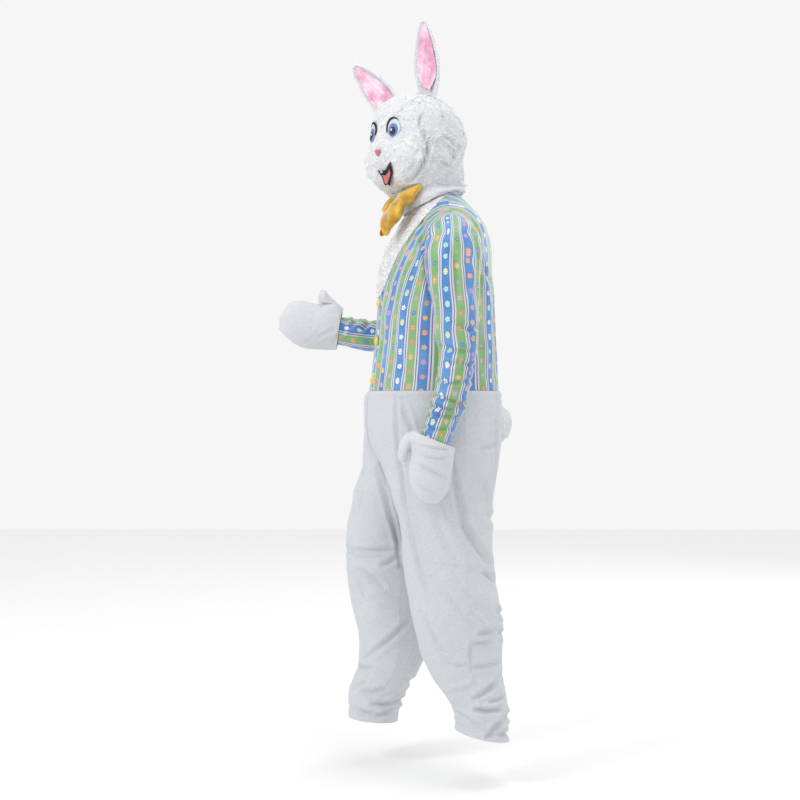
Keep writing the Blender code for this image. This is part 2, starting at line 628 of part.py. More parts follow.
def sew_sleeve(cloth, side, name, table):
    """A sleeve from the armhole to its end inside the mitten."""
    front, back = armhole(True), armhole(False)
    rings = [[trunk(side * turn, level) for turn, level in front + back[-2:0:-1]]]
    for out, y, level, lean, pitch, half_width, half_depth in table:
        a, b = math.radians(lean), math.radians(pitch)
        across = Vector((side * math.cos(a), 0, math.sin(a))) * half_width
        forward = Vector((0, -math.sin(b), math.cos(b))) * half_depth
        middle = Vector((side * out, y, level))
        ring = []
        for k in range(SLEEVE_CELLS):
            t = 2 * math.pi * k / SLEEVE_CELLS
            ring.append(middle - across * squared(math.cos(t)) + forward * squared(math.sin(t)))
        rings.append(ring)
    if side > 0:
        rings = rings[::-1]
    cloth.grid(f"sleeve_{name}", rings, closed=True)


def hip_point(side, turn_share, level):
    """A point of half the trousers above the crotch, from its front centre seam (0) to its back one (1)."""
    yaw, out, half_width, middle, front, back = smooth(HIPS, level)
    start = -math.degrees(math.asin(min(1.0, out / half_width) ** (1 / ROUNDNESS)))
    turn = start + (180 - 2 * start) * turn_share
    x, y = egg(turn, half_width, front, back)
    x = 0.0 if turn_share in (0.0, 1.0) else x + out
    folds = LEFT_LEG_FOLDS if side > 0 else RIGHT_LEG_FOLDS
    edge = min(1.0, FOLD_SEAM * min(turn_share, 1 - turn_share)) * min(1.0, (WAIST - level) / FOLD_END)
    grow = 1 + edge * relief(folds, turn, level, FOLD_RADIUS) / half_width
    x, y = turned(side * x * grow, y * grow, yaw)
    return Vector((x, middle + y, level))


def leg_point(side, turn_share, level):
    """A point of a leg below the crotch."""
    table, folds = (LEFT_LEG, LEFT_LEG_FOLDS) if side > 0 else (RIGHT_LEG, RIGHT_LEG_FOLDS)
    x0, y0, half_width, half_depth, yaw, drop = smooth(table, level)
    turn = -90 + 360 * (turn_share % 1.0)
    x, y = egg(turn, half_width, half_depth, half_depth)
    grow = 1 + relief(folds, turn, level, FOLD_RADIUS) / half_depth
    drop_here = drop * y / half_depth
    x, y = turned(side * x * grow, y * grow, yaw)
    return Vector((x0 + x, y0 + y, level - drop_here))


def sew_leg(cloth, side, name):
    """One half of the trousers: four panels that share the seams."""
    shares = [i / (2 * LEG_CELLS) for i in range(2 * LEG_CELLS + 1)]
    if side < 0:
        shares = shares[::-1]
    hem = (LEFT_LEG if side > 0 else RIGHT_LEG)[0][0]
    upper = [[hip_point(side, s, level) for s in shares] for level in HIP_LEVELS]
    upper += [[leg_point(side, s, level) for s in shares] for level in THIGH_LEVELS]
    lower = [upper[-1]] + [[leg_point(side, s, level) for s in shares] for level in (*SHIN_LEVELS, hem)]
    first, second = ("front", "back") if side > 0 else ("back", "front")
    for label, rows in (("upper", upper[::-1]), ("lower", lower[::-1])):
        cloth.grid(f"trousers_{label}_{first}_{name}", [row[: LEG_CELLS + 1] for row in rows])
        cloth.grid(f"trousers_{label}_{second}_{name}", [row[LEG_CELLS:] for row in rows])
    return upper[0]


def head_axis(turn):
    a = math.radians(turn + HEAD_TURN)
    return Vector((math.sin(a), -math.cos(a), 0))


def head_point(turn, level):
    """A point of the head's backing: turn 0 is the nose, 90 the wearer's left."""
    front, back, half_width = smooth(HEAD, level)
    left, forward = egg(turn, half_width, front, back)
    swell = 0.0
    for at, height, spread, spread_up, rise in HEAD_FORMS:
        away = (turn - at + 180) % 360 - 180
        swell += rise * math.exp(-((away / spread) ** 2) - ((level - height) / spread_up) ** 2)
    flat = head_axis(0) * -forward + head_axis(90) * left
    flat *= 1 + swell / flat.length
    return Vector((HEAD_X + flat.x, HEAD_Y + flat.y, level))


def clear_of_neck(place):
    """A point of the head, moved out where it would come too near the collar inside it."""
    if place.z > NECK_CLEAR_TOP:
        return place
    level = min(place.z, TRUNK[-1][0])
    yaw = TRUNK[-1][4]
    neck = trunk(math.degrees(math.atan2(place.x, -place.y)) - yaw, level)
    least = math.hypot(neck.x, neck.y) + NECK_ROOM
    reach = math.hypot(place.x, place.y)
    return place if reach >= least else Vector((place.x * least / reach, place.y * least / reach, place.z))


def head_turns():
    face = [FACE_EDGE * i / FACE_HALF_CELLS for i in range(-FACE_HALF_CELLS, FACE_HALF_CELLS)]
    rest = [FACE_EDGE + (360 - 2 * FACE_EDGE) * i / (2 * BACK_CELLS) for i in range(2 * BACK_CELLS)]
    return face + rest


def sew_head(cloth):
    """The face, the two back pieces that also cover the crown, and the neck skirt."""
    turns = head_turns()
    face, half = 2 * FACE_HALF_CELLS, BACK_CELLS
    rows = []
    for row, lift in zip(HEAD, JAW_LIFT + (0.0,) * len(HEAD)):
        levels = [row[0] + lift * (1 - math.cos(math.radians(t))) / 2 for t in turns]
        rows.append([clear_of_neck(head_point(t, level)) for t, level in zip(turns, levels)])
    crown = Vector((HEAD_X, HEAD_Y, CROWN)) + head_axis(0) * CROWN_FORWARD
    low, high = rows[: -CROWN_ROWS], rows[-CROWN_ROWS - 1 :] + [[crown] * len(turns)]
    cloth.grid("head_face", [row[: face + 1] for row in low])
    cloth.grid("head_back_left", [row[face : face + half + 1] for row in low])
    cloth.grid("head_back_right", [row[face + half :] + row[:1] for row in low])
    middle = FACE_HALF_CELLS
    cloth.grid("head_back_left", [row[middle : face + half + 1] for row in high])
    cloth.grid("head_back_right", [row[face + half :] + row[: middle + 1] for row in high])
    sew_skirt(cloth, rows[0])


def sew_skirt(cloth, jaw):
    rows = []
    for i in range(SKIRT_ROWS + 1):
        f = i / SKIRT_ROWS
        row = []
        for top in jaw:
            yaw = TRUNK[-1][4]
            around = math.degrees(math.atan2(top.x, -top.y)) - yaw
            away = abs((around + 180) % 360 - 180)
            level = float(smooth(SKIRT_EDGE, away)[0])
            foot = trunk(around, level)
            out = Vector((foot.x, foot.y, 0)).normalized()
            foot += trunk_normal(around, level) * (PLUSH_PILE + SKIRT_REST) + out * HEAD_WALL
            roll = SKIRT_ROLL * min(1.0, SKIRT_ROLL_LEAST + away / SKIRT_ROLL_TURN)
            roll *= math.sin(math.pi * min(1.0, SKIRT_ROLL_LOW * f)) * (1 - f)
            row.append(foot.lerp(top, f) + out * roll)
        rows.append(row)
    rows[-1] = list(jaw)
    cloth.grid("head_skirt", rows, closed=True)


def landing(tree, spot, facing):
    """Where a point comes to lie on a surface, moved against the way that the piece faces."""
    hit = tree.ray_cast(spot + facing * REACH, -facing)[0]
    if hit is None:
        nearest = tree.find_nearest(spot)[0]
        hit = spot + facing * (nearest - spot).dot(facing)
    return hit


def trim(name, tree, middle, facing, outline, thick, colour, dome=0.0, rings=2, roughness=0.5):
    """A thin piece that rests on a surface; the outline runs round the middle, to the side and up."""
    facing = facing.normalized()
    sideways = Vector((0, 0, 1)).cross(facing).normalized()
    upward = facing.cross(sideways)
    count = len(outline)
    centre = tuple(sum(values) / count for values in zip(*outline))
    spots = [(*centre, 0.0)]
    for ring in range(1, rings + 1):
        share = ring / rings
        spots += [(*blend(centre, edge, share), share) for edge in outline]
    faces = [(0, 1 + k, 1 + (k + 1) % count) for k in range(count)]
    for ring in range(rings - 1):
        a, b = 1 + ring * count, 1 + (ring + 1) * count
        faces += [(a + k, b + k, b + (k + 1) % count, a + (k + 1) % count) for k in range(count)]
    under = [landing(tree, middle + sideways * u + upward * v, facing) for u, v, _ in spots]
    cuts = [part for face in faces for part in split(under, face)]
    lift = SEAM
    while BVHTree.FromPolygons([p + facing * (lift - SEAM / 2) for p in under], cuts).overlap(tree):
        lift += LIFT_STEP
    inner = [p + facing * lift for p in under]
    domes = [thick + dome * math.sqrt(max(0.0, 1 - share**2)) for _, _, share in spots]
    outer = [p + facing * height for p, height in zip(inner, domes)]
    solid(name, outer, inner, faces, colour, roughness, 0.0)
    return BVHTree.FromPolygons(outer, cuts)


def oval(half_width, half_height, count=14, u=0.0, v=0.0, lean=0.0):
    a = math.radians(lean)
    points = []
    for k in range(count):
        t = 2 * math.pi * k / count
        x, y = half_width * math.cos(t), half_height * math.sin(t)
        points.append((u + x * math.cos(a) - y * math.sin(a), v + x * math.sin(a) + y * math.cos(a)))
    return points


def make_eye(tree, side, name):
    """One eye in flat layers: white, iris, pupil and highlight."""
    middle = head_point(side * EYE_TURN, EYE_LEVEL)
    facing = head_axis(side * (EYE_TURN + EYE_SQUINT))
    white = (EYE_HALF_WIDTH, EYE_HALF_HEIGHT, 0.0, 0.0)
    for layer, size, corners, rings, colour in (
        ("white", white, 14, 2, WHITE),
        ("iris", IRIS, 14, 2, IRIS_BLUE),
        ("pupil", PUPIL, 12, 2, NAVY),
        ("glint", GLINT, 8, 1, WHITE),
    ):
        half_width, half_height, inward, up = size
        outline = oval(half_width, half_height, count=corners, u=side * inward, v=up)
        tree = trim(f"eye_{name}_{layer}", tree, middle, facing, outline, TRIM_THICK, colour, rings=rings)


def make_lid(tree, side, name):
    """The black upper lid, a crescent round the white, heavier towards the middle of the face."""
    middle = head_point(side * EYE_TURN, EYE_LEVEL)
    facing = head_axis(side * (EYE_TURN + EYE_SQUINT))
    sideways = Vector((0, 0, 1)).cross(facing).normalized()
    upward = facing.cross(sideways)
    outer, inner = [], []
    for i in range(LID_CELLS + 1):
        share = i / LID_CELLS
        a = math.radians(90 + side * (LID_START - LID_SWEEP * share))
        heavy = LID_EDGE + LID_HEAVY * math.sin(math.pi * (LID_PEAK + (1 - LID_PEAK) * share))
        for away in (LID_GAP, LID_GAP + heavy):
            u = (EYE_HALF_WIDTH + away) * math.cos(a)
            v = (EYE_HALF_HEIGHT + away) * math.sin(a)
            hit = landing(tree, middle + sideways * u + upward * v, facing)
            inner.append(hit + facing * LID_REST)
            outer.append(hit + facing * (LID_REST + 2 * TRIM_THICK))
    faces = [(2 * i, 2 * i + 1, 2 * i + 3, 2 * i + 2) for i in range(LID_CELLS)]
    solid(f"eye_{name}_lid", outer, inner, faces, BLACK, 0.5, 0.0)


def make_face(tree):
    for side, name in ((1, "left"), (-1, "right")):
        make_eye(tree, side, name)
        make_lid(tree, side, name)
    facing = head_axis(0)
    trim("nose", tree, head_point(0, NOSE_LEVEL), facing, NOSE, TRIM_THICK, NOSE_PINK, dome=NOSE_DOME)
    middle = head_point(0, MOUTH_LEVEL)
    lining = trim("mouth", tree, middle, facing, MOUTH, TRIM_THICK, BLACK, rings=3)
    tongue = [(u * TONGUE_WIDTH + TONGUE_ASIDE, v * TONGUE_HEIGHT - TONGUE_LOW) for u, v in MOUTH]
    trim("tongue", lining, middle, facing, tongue, TRIM_THICK, CORAL)
    teeth = (("upper", UPPER_TOOTH_RISE, UPPER_TOOTH), ("lower", LOWER_TOOTH_RISE, LOWER_TOOTH))
    for name, rise, tooth in teeth:
        place = middle + Vector((0, 0, rise))
        trim(f"tooth_{name}", lining, place, facing, tooth, TRIM_THICK, WHITE, rings=1)


def rotated_to(facing, axis):
    """The part of a direction that is square to an axis, and the direction square to both."""
    facing = (facing - axis * facing.dot(axis)).normalized()
    return facing, axis.cross(facing)


def make_ear(tree, name, base, tip, facing, half_width, bend):
    """A cupped plush ear that stands on the head, lined with satin on its hollow side."""
    axis = (tip - base).normalized()
    facing, sideways = rotated_to(facing, axis)
    long = (tip - base).length
    rows = []
    starts = {}
    for share in EAR_ROWS:
        wide = half_width * float(smooth(EAR_PROFILE, share)[0])
        row = []
        for a in EAR_COLUMNS:
            cup = EAR_CUP * half_width * (a * a - EAR_CUP_MIDDLE) * (1 - EAR_CUP_TIP * share)
            lean = bend * 4 * share * (1 - share)
            spot = base + sideways * wide * a + facing * (cup + lean)
            if a not in starts:
                hit = tree.ray_cast(spot + axis * REACH, -axis)[0]
                starts[a] = 0.0 if hit is None else (hit - spot).dot(axis)
            row.append(spot + axis * (starts[a] + (long - starts[a]) * share))
        rows.append(row)
    columns = len(EAR_COLUMNS)
    spots = [point for row in rows for point in row]
    faces = []
    for i in range(len(rows) - 1):
        for j in range(columns - 1):
            k = i * columns + j
            faces.append((k, k + 1, k + columns + 1, k + columns))
    normals = [Vector((0, 0, 0)) for _ in spots]
    for a, b, c, d in faces:
        normal = (spots[c] - spots[a]).cross(spots[d] - spots[b]).normalized()
        for i in (a, b, c, d):
            normals[i] += normal
    normals = [n.normalized() * (1 if n.dot(facing) > 0 else -1) for n in normals]
    front = [p + n * EAR_WALL / 2 for p, n in zip(spots, normals)]
    back = [p - n * EAR_WALL / 2 for p, n in zip(spots, normals)]
    for side in (front, back):
        side[:columns] = [landing(tree, spot, axis) + axis * SEAM for spot in side[:columns]]
    edge = [(j, j + 1, columns + j + 1, columns + j) for j in range(columns - 1)]
    while BVHTree.FromPolygons(front[:columns] + back[:columns], edge).overlap(tree):
        for side in (front, back):
            side[:columns] = [spot + axis * LIFT_STEP for spot in side[:columns]]
    solid(f"ear_{name}_plush", front, back, faces, WHITE, 0.9, 0.0)
    lining = [f for f in faces if all(1 <= i // columns < len(rows) - 2 for i in f)]
    lining = [f for f in lining if all(1 <= i % columns < columns - 1 for i in f)]
    used = sorted({i for face in lining for i in face})
    place = {i: k for k, i in enumerate(used)}
    low = [front[i] + normals[i] * REST for i in used]
    high = [front[i] + normals[i] * (REST + EAR_LINING) for i in used]
    lining = [tuple(place[i] for i in face) for face in lining]
    solid(f"ear_{name}_satin", high, low, lining, PINK, 0.3, 0.0)


def bow_frame(side):
    """The way that a loop runs out, its upward and its forward direction, and the way across both loops."""
    across = Vector((math.cos(math.radians(BOW_TURN)), math.sin(math.radians(BOW_TURN)), 0))
    out = BOW_OUT.normalized()
    up = BOW_UP.normalized()
    fore = out.cross(up).normalized()
    if side < 0:
        out, up, fore = (v - across * 2 * v.dot(across) for v in (out, up, fore))
        out = (out + BOW_DROOP).normalized()
    return out, up, fore, across


def make_bow(tree):
    """A folded band on each side of the knot, open at the top and at the bottom, over what lies below it."""
    cloth = Cloth()
    for side, name in ((1, "left"), (-1, "right")):
        out, up, fore, _ = bow_frame(side)
        start = BOW_START if side > 0 else BOW_START + BOW_SLANT
        clear = BOW_CLEAR if side > 0 else BOW_CLEAR_FAR
        rows = []
        for i in range(BOW_CELLS + 1):
            t = 2 * i / BOW_CELLS - 1
            row = []
            for along, across in BOW_SECTION:
                tall = BOW_KNOT_HALF + (BOW_END_HALF - BOW_KNOT_HALF) * along**BOW_FLARE
                tall *= BOW_UNDER_CHIN if side < 0 else 1
                pleat = BOW_PLEAT * math.cos(BOW_PLEAT_WAVES * math.pi * t) * (1 - along) * along * 4
                reach = start + (BOW_LONG - start) * along * (1 - BOW_CORNER * t * t)
                bulge = across * (1 - BOW_EDGE_FLAT * t * t)
                spot = BOW_MIDDLE + out * reach + up * tall * t + fore * (bulge + pleat)
                hit = tree.ray_cast(spot + fore * REACH / 2, -fore)[0]
                least = clear + (across - BOW_BACK) / 2
                short = least - (spot - hit).dot(fore) if hit is not None else 0.0
                row.append(spot + fore * max(0.0, short))
            rows.append(row[::side])
        cloth.grid(f"bow_{name}", rows)
    normals = cloth.normals()
    for piece in cloth.pieces:
        cloth.make(normals, piece, 0.0, BOW_WALL, GOLD, 0.25)


def make_knot():
    """The band round the middle of the bow, filled."""
    _, _, fore, across = bow_frame(1)
    fore, up = rotated_to(fore, across)
    points, triangles = [], []
    for i in range(KNOT_RINGS):
        t = 2 * i / (KNOT_RINGS - 1) - 1
        swell = math.sqrt(1 - KNOT_TAPER * t * t)
        for k in range(KNOT_CELLS):
            a = 2 * math.pi * k / KNOT_CELLS
            x, y = KNOT_HALF_WIDTH * squared(math.cos(a)), KNOT_HALF_DEPTH * squared(math.sin(a))
            points.append(BOW_MIDDLE + up * KNOT_HALF_HEIGHT * t + (across * x + fore * y) * swell)
    for i in range(KNOT_RINGS - 1):
        for k in range(KNOT_CELLS):
            a, b = i * KNOT_CELLS + k, i * KNOT_CELLS + (k + 1) % KNOT_CELLS
            triangles += [(a, b, b + KNOT_CELLS), (a, b + KNOT_CELLS, a + KNOT_CELLS)]
    last = (KNOT_RINGS - 1) * KNOT_CELLS
    for k in range(1, KNOT_CELLS - 1):
        triangles += [(0, k + 1, k), (last, last + k, last + k + 1)]
    body("bow_knot", points, triangles, GOLD, 0.25)


def make_mitten(name, plane, table, thumb):
    """A mitten from a palm and a back that share one outline, with the thumb in it."""
    cloth = Cloth()
    shares = [THUMB_ROOT * i / THUMB_CELLS for i in range(THUMB_CELLS)]
    shares += [THUMB_ROOT + (1 - THUMB_ROOT) * i / MITTEN_ROWS for i in range(MITTEN_ROWS + 1)]
    for face, label in ((-1, "palm"), (1, "back")):
        outward = face if name == "left" else -face
        rows = []
        for i, share in enumerate(shares):
            y0, z0, y1, z1, half = smooth(table, share)
            row = []
            for j in range(MITTEN_CELLS + 1):
                a = 2 * j / MITTEN_CELLS - 1
                thick = half * math.sqrt(max(0.0, 1 - abs(a) ** MITTEN_SQUARE))
                if j == 0 and i <= THUMB_CELLS:
                    b = 2 * i / THUMB_CELLS - 1
                    thick = thumb[0][-1] * math.sqrt(max(0.0, 1 - b * b))
                y, z = blend((y0, z0), (y1, z1), (a + 1) / 2)
                row.append(Vector((plane + outward * thick, y, z)))
            rows.append(row)
        thumb_rows = [[rows[i][0] for i in range(THUMB_CELLS + 1)]]
        for y0, z0, y1, z1, half in thumb[1:]:
            row = []
            for j in range(THUMB_CELLS + 1):
                b = 2 * j / THUMB_CELLS - 1
                y, z = blend((y0, z0), (y1, z1), (b + 1) / 2)
                row.append(Vector((plane + outward * half * math.sqrt(max(0.0, 1 - b * b)), y, z)))
            thumb_rows.append(row)
        for grid in (rows, thumb_rows):
            cloth.grid(f"mitten_{name}_{label}", [row[::-outward] for row in grid])
    normals = cloth.normals()
    for piece in cloth.pieces:
        cloth.make(normals, piece, PLUSH_PILE, SATIN_WALL, WHITE)


def make_jumpsuit():
    """The striped top, its sleeves and the collar."""
    cloth = Cloth()
    for side, name, table in ((1, "left", LEFT_SLEEVE), (-1, "right", RIGHT_SLEEVE)):
        sew_top(cloth, side, name)
        sew_sleeve(cloth, side, name, table)
    cloth.level_rim = {i for i, p in enumerate(cloth.points) if abs(p.z - WAIST) < SEAM}
    normals = cloth.normals()
    for piece in cloth.pieces:
        if piece.startswith("collar"):
            cloth.make(normals, piece, PLUSH_PILE, SATIN_WALL, WHITE, 0.9)
        else:
            cloth.make(normals, piece, 0.0, SATIN_WALL, PRINT, 0.45)
    return cloth.tree(normals, 0.0)


def make_trousers():
    cloth = Cloth()
    for side, name in ((1, "left"), (-1, "right")):
        waist = sew_leg(cloth, side, name)
        cloth.level_rim |= {cloth.point(p) for p in waist}
    normals = cloth.normals()
    for piece in cloth.pieces:
        cloth.make(normals, piece, PLUSH_PILE, SATIN_WALL, WHITE)
    return cloth.tree(normals, PLUSH_PILE)


def make_head():
    """The head with its face and ears, and the bow tie on its neck skirt."""
    cloth = Cloth()
    sew_head(cloth)
    normals = cloth.normals()
    for piece in cloth.pieces:
        cloth.make(normals, piece, 0.0, HEAD_WALL, WHITE)
    surface = cloth.tree(normals, 0.0)
    make_face(surface)
    for name, (base, tip, facing, half_width, bend) in EARS.items():
        make_ear(surface, name, Vector(base), Vector(tip), Vector(facing), half_width, bend)
    make_bow(cloth.tree(normals, 0.0, ("head_skirt",)))
    make_knot()


def make_tail(tree):
    yaw = math.radians(smooth(HIPS, TAIL_LEVEL)[0])
    rear = Vector((-math.sin(yaw), math.cos(yaw), 0))
    seat = hip_point(1, 1.0, TAIL_LEVEL)
    edge = oval(TAIL_RADIUS, TAIL_RADIUS, count=18)
    trim("tail", tree, seat, rear, edge, TAIL_EDGE, WHITE, dome=TAIL_REACH, rings=5, roughness=0.9)


def make_buttons(tree):
    disc = oval(BUTTON_RADIUS, BUTTON_RADIUS, count=12)
    for name, level in BUTTON_LEVELS.items():
        facing, place = trunk_normal(0, level), trunk(0, level)
        trim(f"button_{name}", tree, place, facing, disc, BUTTON_EDGE, YELLOW, dome=BUTTON_DOME)


def main():
    for old in list(bpy.data.objects):
        bpy.data.objects.remove(old)
    top = make_jumpsuit()
    trousers = make_trousers()
    make_head()
    make_tail(trousers)
    make_buttons(top)
    make_mitten("left", LEFT_MITTEN_PLANE, LEFT_MITTEN, LEFT_THUMB)
    make_mitten("right", RIGHT_MITTEN_PLANE, RIGHT_MITTEN, RIGHT_THUMB)


main()
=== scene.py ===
import math

import bmesh
import bpy
import numpy as np
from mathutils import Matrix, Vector, noise
from mathutils.kdtree import KDTree


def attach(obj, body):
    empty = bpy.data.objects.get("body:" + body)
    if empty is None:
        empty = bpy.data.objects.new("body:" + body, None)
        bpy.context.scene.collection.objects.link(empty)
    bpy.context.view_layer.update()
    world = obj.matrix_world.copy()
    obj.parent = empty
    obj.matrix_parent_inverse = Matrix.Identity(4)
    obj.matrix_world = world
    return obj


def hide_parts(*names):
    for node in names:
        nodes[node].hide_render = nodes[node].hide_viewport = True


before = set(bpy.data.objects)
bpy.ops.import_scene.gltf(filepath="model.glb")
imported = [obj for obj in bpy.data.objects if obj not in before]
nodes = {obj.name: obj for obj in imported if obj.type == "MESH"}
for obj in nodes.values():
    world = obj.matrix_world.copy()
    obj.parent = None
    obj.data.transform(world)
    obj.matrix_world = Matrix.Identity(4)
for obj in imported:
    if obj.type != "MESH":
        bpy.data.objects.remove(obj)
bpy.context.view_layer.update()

# camera
camera = {"place": (3.75, -0.108, -0.54), "turn": (90, 0, 90), "lens": 62.5, "sensor": 36.0, "side": 800}
pixels = camera["lens"] / camera["sensor"] * camera["side"]  # photo pixels for one metre at one metre away


def addCamera():
    bpy.ops.object.camera_add(location=camera["place"], rotation=[math.radians(a) for a in camera["turn"]])
    shot = bpy.context.object
    shot.data.lens = camera["lens"]
    shot.data.sensor_width = camera["sensor"]
    shot.data.clip_end = 60
    bpy.context.scene.camera = shot


addCamera()


def onPhoto(points):
    away = camera["place"][0] - points[:, 0]
    middle = camera["side"] // 2
    x = middle + (points[:, 1] - camera["place"][1]) * pixels / away
    y = middle - (points[:, 2] - camera["place"][2]) * pixels / away
    return np.stack([x, y], axis=1)


# mesh helpers

def selectOnly(piece):
    bpy.ops.object.select_all(action="DESELECT")
    piece.select_set(True)
    bpy.context.view_layer.objects.active = piece


def applied(piece, kind, **settings):
    selectOnly(piece)
    modifier = piece.modifiers.new(kind, kind)
    for key, value in settings.items():
        setattr(modifier, key, value)
    bpy.ops.object.modifier_apply(modifier=modifier.name)


def places(piece):
    points = np.zeros(len(piece.data.vertices) * 3, np.float32)
    piece.data.vertices.foreach_get("co", points)
    return points.reshape(-1, 3).astype(float)


def setPlaces(piece, points):
    piece.data.vertices.foreach_set("co", points.astype(np.float32).ravel())
    piece.data.update()


# how the solids' meshes are refined, in metres and degrees
refining = {"weld": 0.00001, "faceTurn": 60.0, "shapeTurn": 70.0, "sharp": 50.0, "smooth": 45.0}


def refined(node, name, levels=2):
    piece = bpy.data.objects.new(name, nodes[node].data.copy())  # a merged, smoother copy of the solid
    bpy.context.scene.collection.objects.link(piece)
    piece.data.materials.clear()
    selectOnly(piece)
    bpy.ops.mesh.customdata_custom_splitnormals_clear()
    bpy.ops.object.mode_set(mode="EDIT")
    bpy.ops.mesh.select_all(action="SELECT")
    bpy.ops.mesh.remove_doubles(threshold=refining["weld"])
    bpy.ops.mesh.tris_convert_to_quads(
        face_threshold=math.radians(refining["faceTurn"]), shape_threshold=math.radians(refining["shapeTurn"]))
    bpy.ops.object.mode_set(mode="OBJECT")
    shape = bmesh.new()
    shape.from_mesh(piece.data)
    keen = shape.edges.layers.float.new("crease_edge")
    for edge in shape.edges:
        edge.smooth = True
        if len(edge.link_faces) == 2 and edge.calc_face_angle() > math.radians(refining["sharp"]):
            edge[keen] = 1.0
    shape.to_mesh(piece.data)
    shape.free()
    applied(piece, "SUBSURF", levels=levels, render_levels=levels)
    bpy.ops.object.shade_smooth_by_angle(angle=math.radians(refining["smooth"]))
    return piece


def dressed(piece, node, material):
    piece.data.materials.clear()
    piece.data.materials.append(material)
    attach(piece, "root")
    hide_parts(node)


# materials

def shader(name):
    material = bpy.data.materials.new(name)
    material.use_nodes = True
    return material, material.node_tree, material.node_tree.nodes["Principled BSDF"]


def put(tree, kind, inputs=None, **settings):
    made = tree.nodes.new(kind)
    for key, value in settings.items():
        setattr(made, key, value)
    for key, value in (inputs or {}).items():
        if isinstance(value, bpy.types.NodeSocket):
            tree.links.new(value, made.inputs[key])
        else:
            made.inputs[key].default_value = value
    return made


def maths(tree, operation, first, second=0.0, third=0.0):
    return put(tree, "ShaderNodeMath", {0: first, 1: second, 2: third}, operation=operation).outputs[0]


def mixed(tree, amount, first, second):
    made = put(tree, "ShaderNodeMix", data_type="RGBA")
    for socket, value in ((made.inputs[0], amount), (made.inputs[6], first), (made.inputs[7], second)):
        if isinstance(value, bpy.types.NodeSocket):
            tree.links.new(value, socket)
        else:
            socket.default_value = value
    return made.outputs[2]


def noiseAt(tree, vector, scale, detail=3.0, roughness=0.55):
    inputs = {"Vector": vector, "Scale": scale, "Detail": detail, "Roughness": roughness}
    return put(tree, "ShaderNodeTexNoise", inputs)


def ramp(tree, factor, stops, interpolation="LINEAR"):
    made = put(tree, "ShaderNodeValToRGB", {"Fac": factor})
    made.color_ramp.interpolation = interpolation
    while len(made.color_ramp.elements) < len(stops):
        made.color_ramp.elements.new(0.5)
    for element, (at, colour) in zip(made.color_ramp.elements, stops):
        element.position = at
        element.color = (*colour, 1)
    return made.outputs[0]


def surfaced(tree, finish, colour, height, look, values):
    bump = put(tree, "ShaderNodeBump", {"Height": height, "Strength": look["bump"], "Distance": look["depth"]})
    tree.links.new(colour, finish.inputs["Base Color"])
    tree.links.new(bump.outputs[0], finish.inputs["Normal"])
    for key, value in values.items():
        finish.inputs[key].default_value = value


pile = {  # what all the plushes share
    "clumpShare": 0.6, "hairShare": 0.4, "clumpHeight": 1.6, "broad": 9.0, "tintShare": 0.35,
    "darkAt": 0.30, "lightAt": 0.52, "rough": 0.95, "gloss": 0.15,
    "sheenRough": 0.55, "sheenTint": (0.93, 0.95, 1.0),
}


def plush(name, look):
    material, tree, finish = shader(name)
    where = put(tree, "ShaderNodeTexCoord").outputs["Object"]
    clump = noiseAt(tree, where, look["clump"], 4.0, 0.6)
    hair = noiseAt(tree, where, look["hair"], 2.0, 0.7)
    broad = noiseAt(tree, where, pile["broad"], 2.0)
    clumpShade = maths(tree, "MULTIPLY", clump.outputs[0], pile["clumpShare"])
    hairShade = maths(tree, "MULTIPLY", hair.outputs[0], pile["hairShare"])
    shade = maths(tree, "ADD", clumpShade, hairShade)
    tone = ramp(tree, shade, ((pile["darkAt"], look["dark"]), (pile["lightAt"], look["light"])))
    tint = mixed(tree, maths(tree, "MULTIPLY", broad.outputs[0], pile["tintShare"]), tone, (*look["tint"], 1))
    height = maths(tree, "ADD", maths(tree, "MULTIPLY", clump.outputs[0], pile["clumpHeight"]), hair.outputs[0])
    surfaced(tree, finish, tint, height, look, {
        "Roughness": pile["rough"], "Specular IOR Level": pile["gloss"], "Sheen Weight": look["sheen"],
        "Sheen Roughness": pile["sheenRough"], "Sheen Tint": (*pile["sheenTint"], 1),
    })
    return material


shortPlush = plush("shortPlush", {
    "clump": 190.0, "hair": 620.0, "dark": (0.53, 0.555, 0.59), "light": (0.68, 0.70, 0.73),
    "tint": (0.63, 0.65, 0.685), "bump": 0.6, "depth": 0.004, "sheen": 0.25,
})
longPlush = plush("longPlush", {
    "clump": 95.0, "hair": 420.0, "dark": (0.62, 0.64, 0.67), "light": (0.84, 0.855, 0.875),
    "tint": (0.78, 0.795, 0.82), "bump": 0.7, "depth": 0.006, "sheen": 0.25,
})
furPlush = plush("furPlush", {
    "clump": 70.0, "hair": 300.0, "dark": (0.88, 0.895, 0.92), "light": (0.97, 0.975, 0.98),
    "tint": (0.95, 0.96, 0.975), "bump": 0.1, "depth": 0.001, "sheen": 0.1,
})
mittenPlush = plush("mittenPlush", {
    "clump": 240.0, "hair": 700.0, "dark": (0.53, 0.54, 0.575), "light": (0.68, 0.69, 0.72),
    "tint": (0.63, 0.64, 0.675), "bump": 0.45, "depth": 0.003, "sheen": 0.25,
})

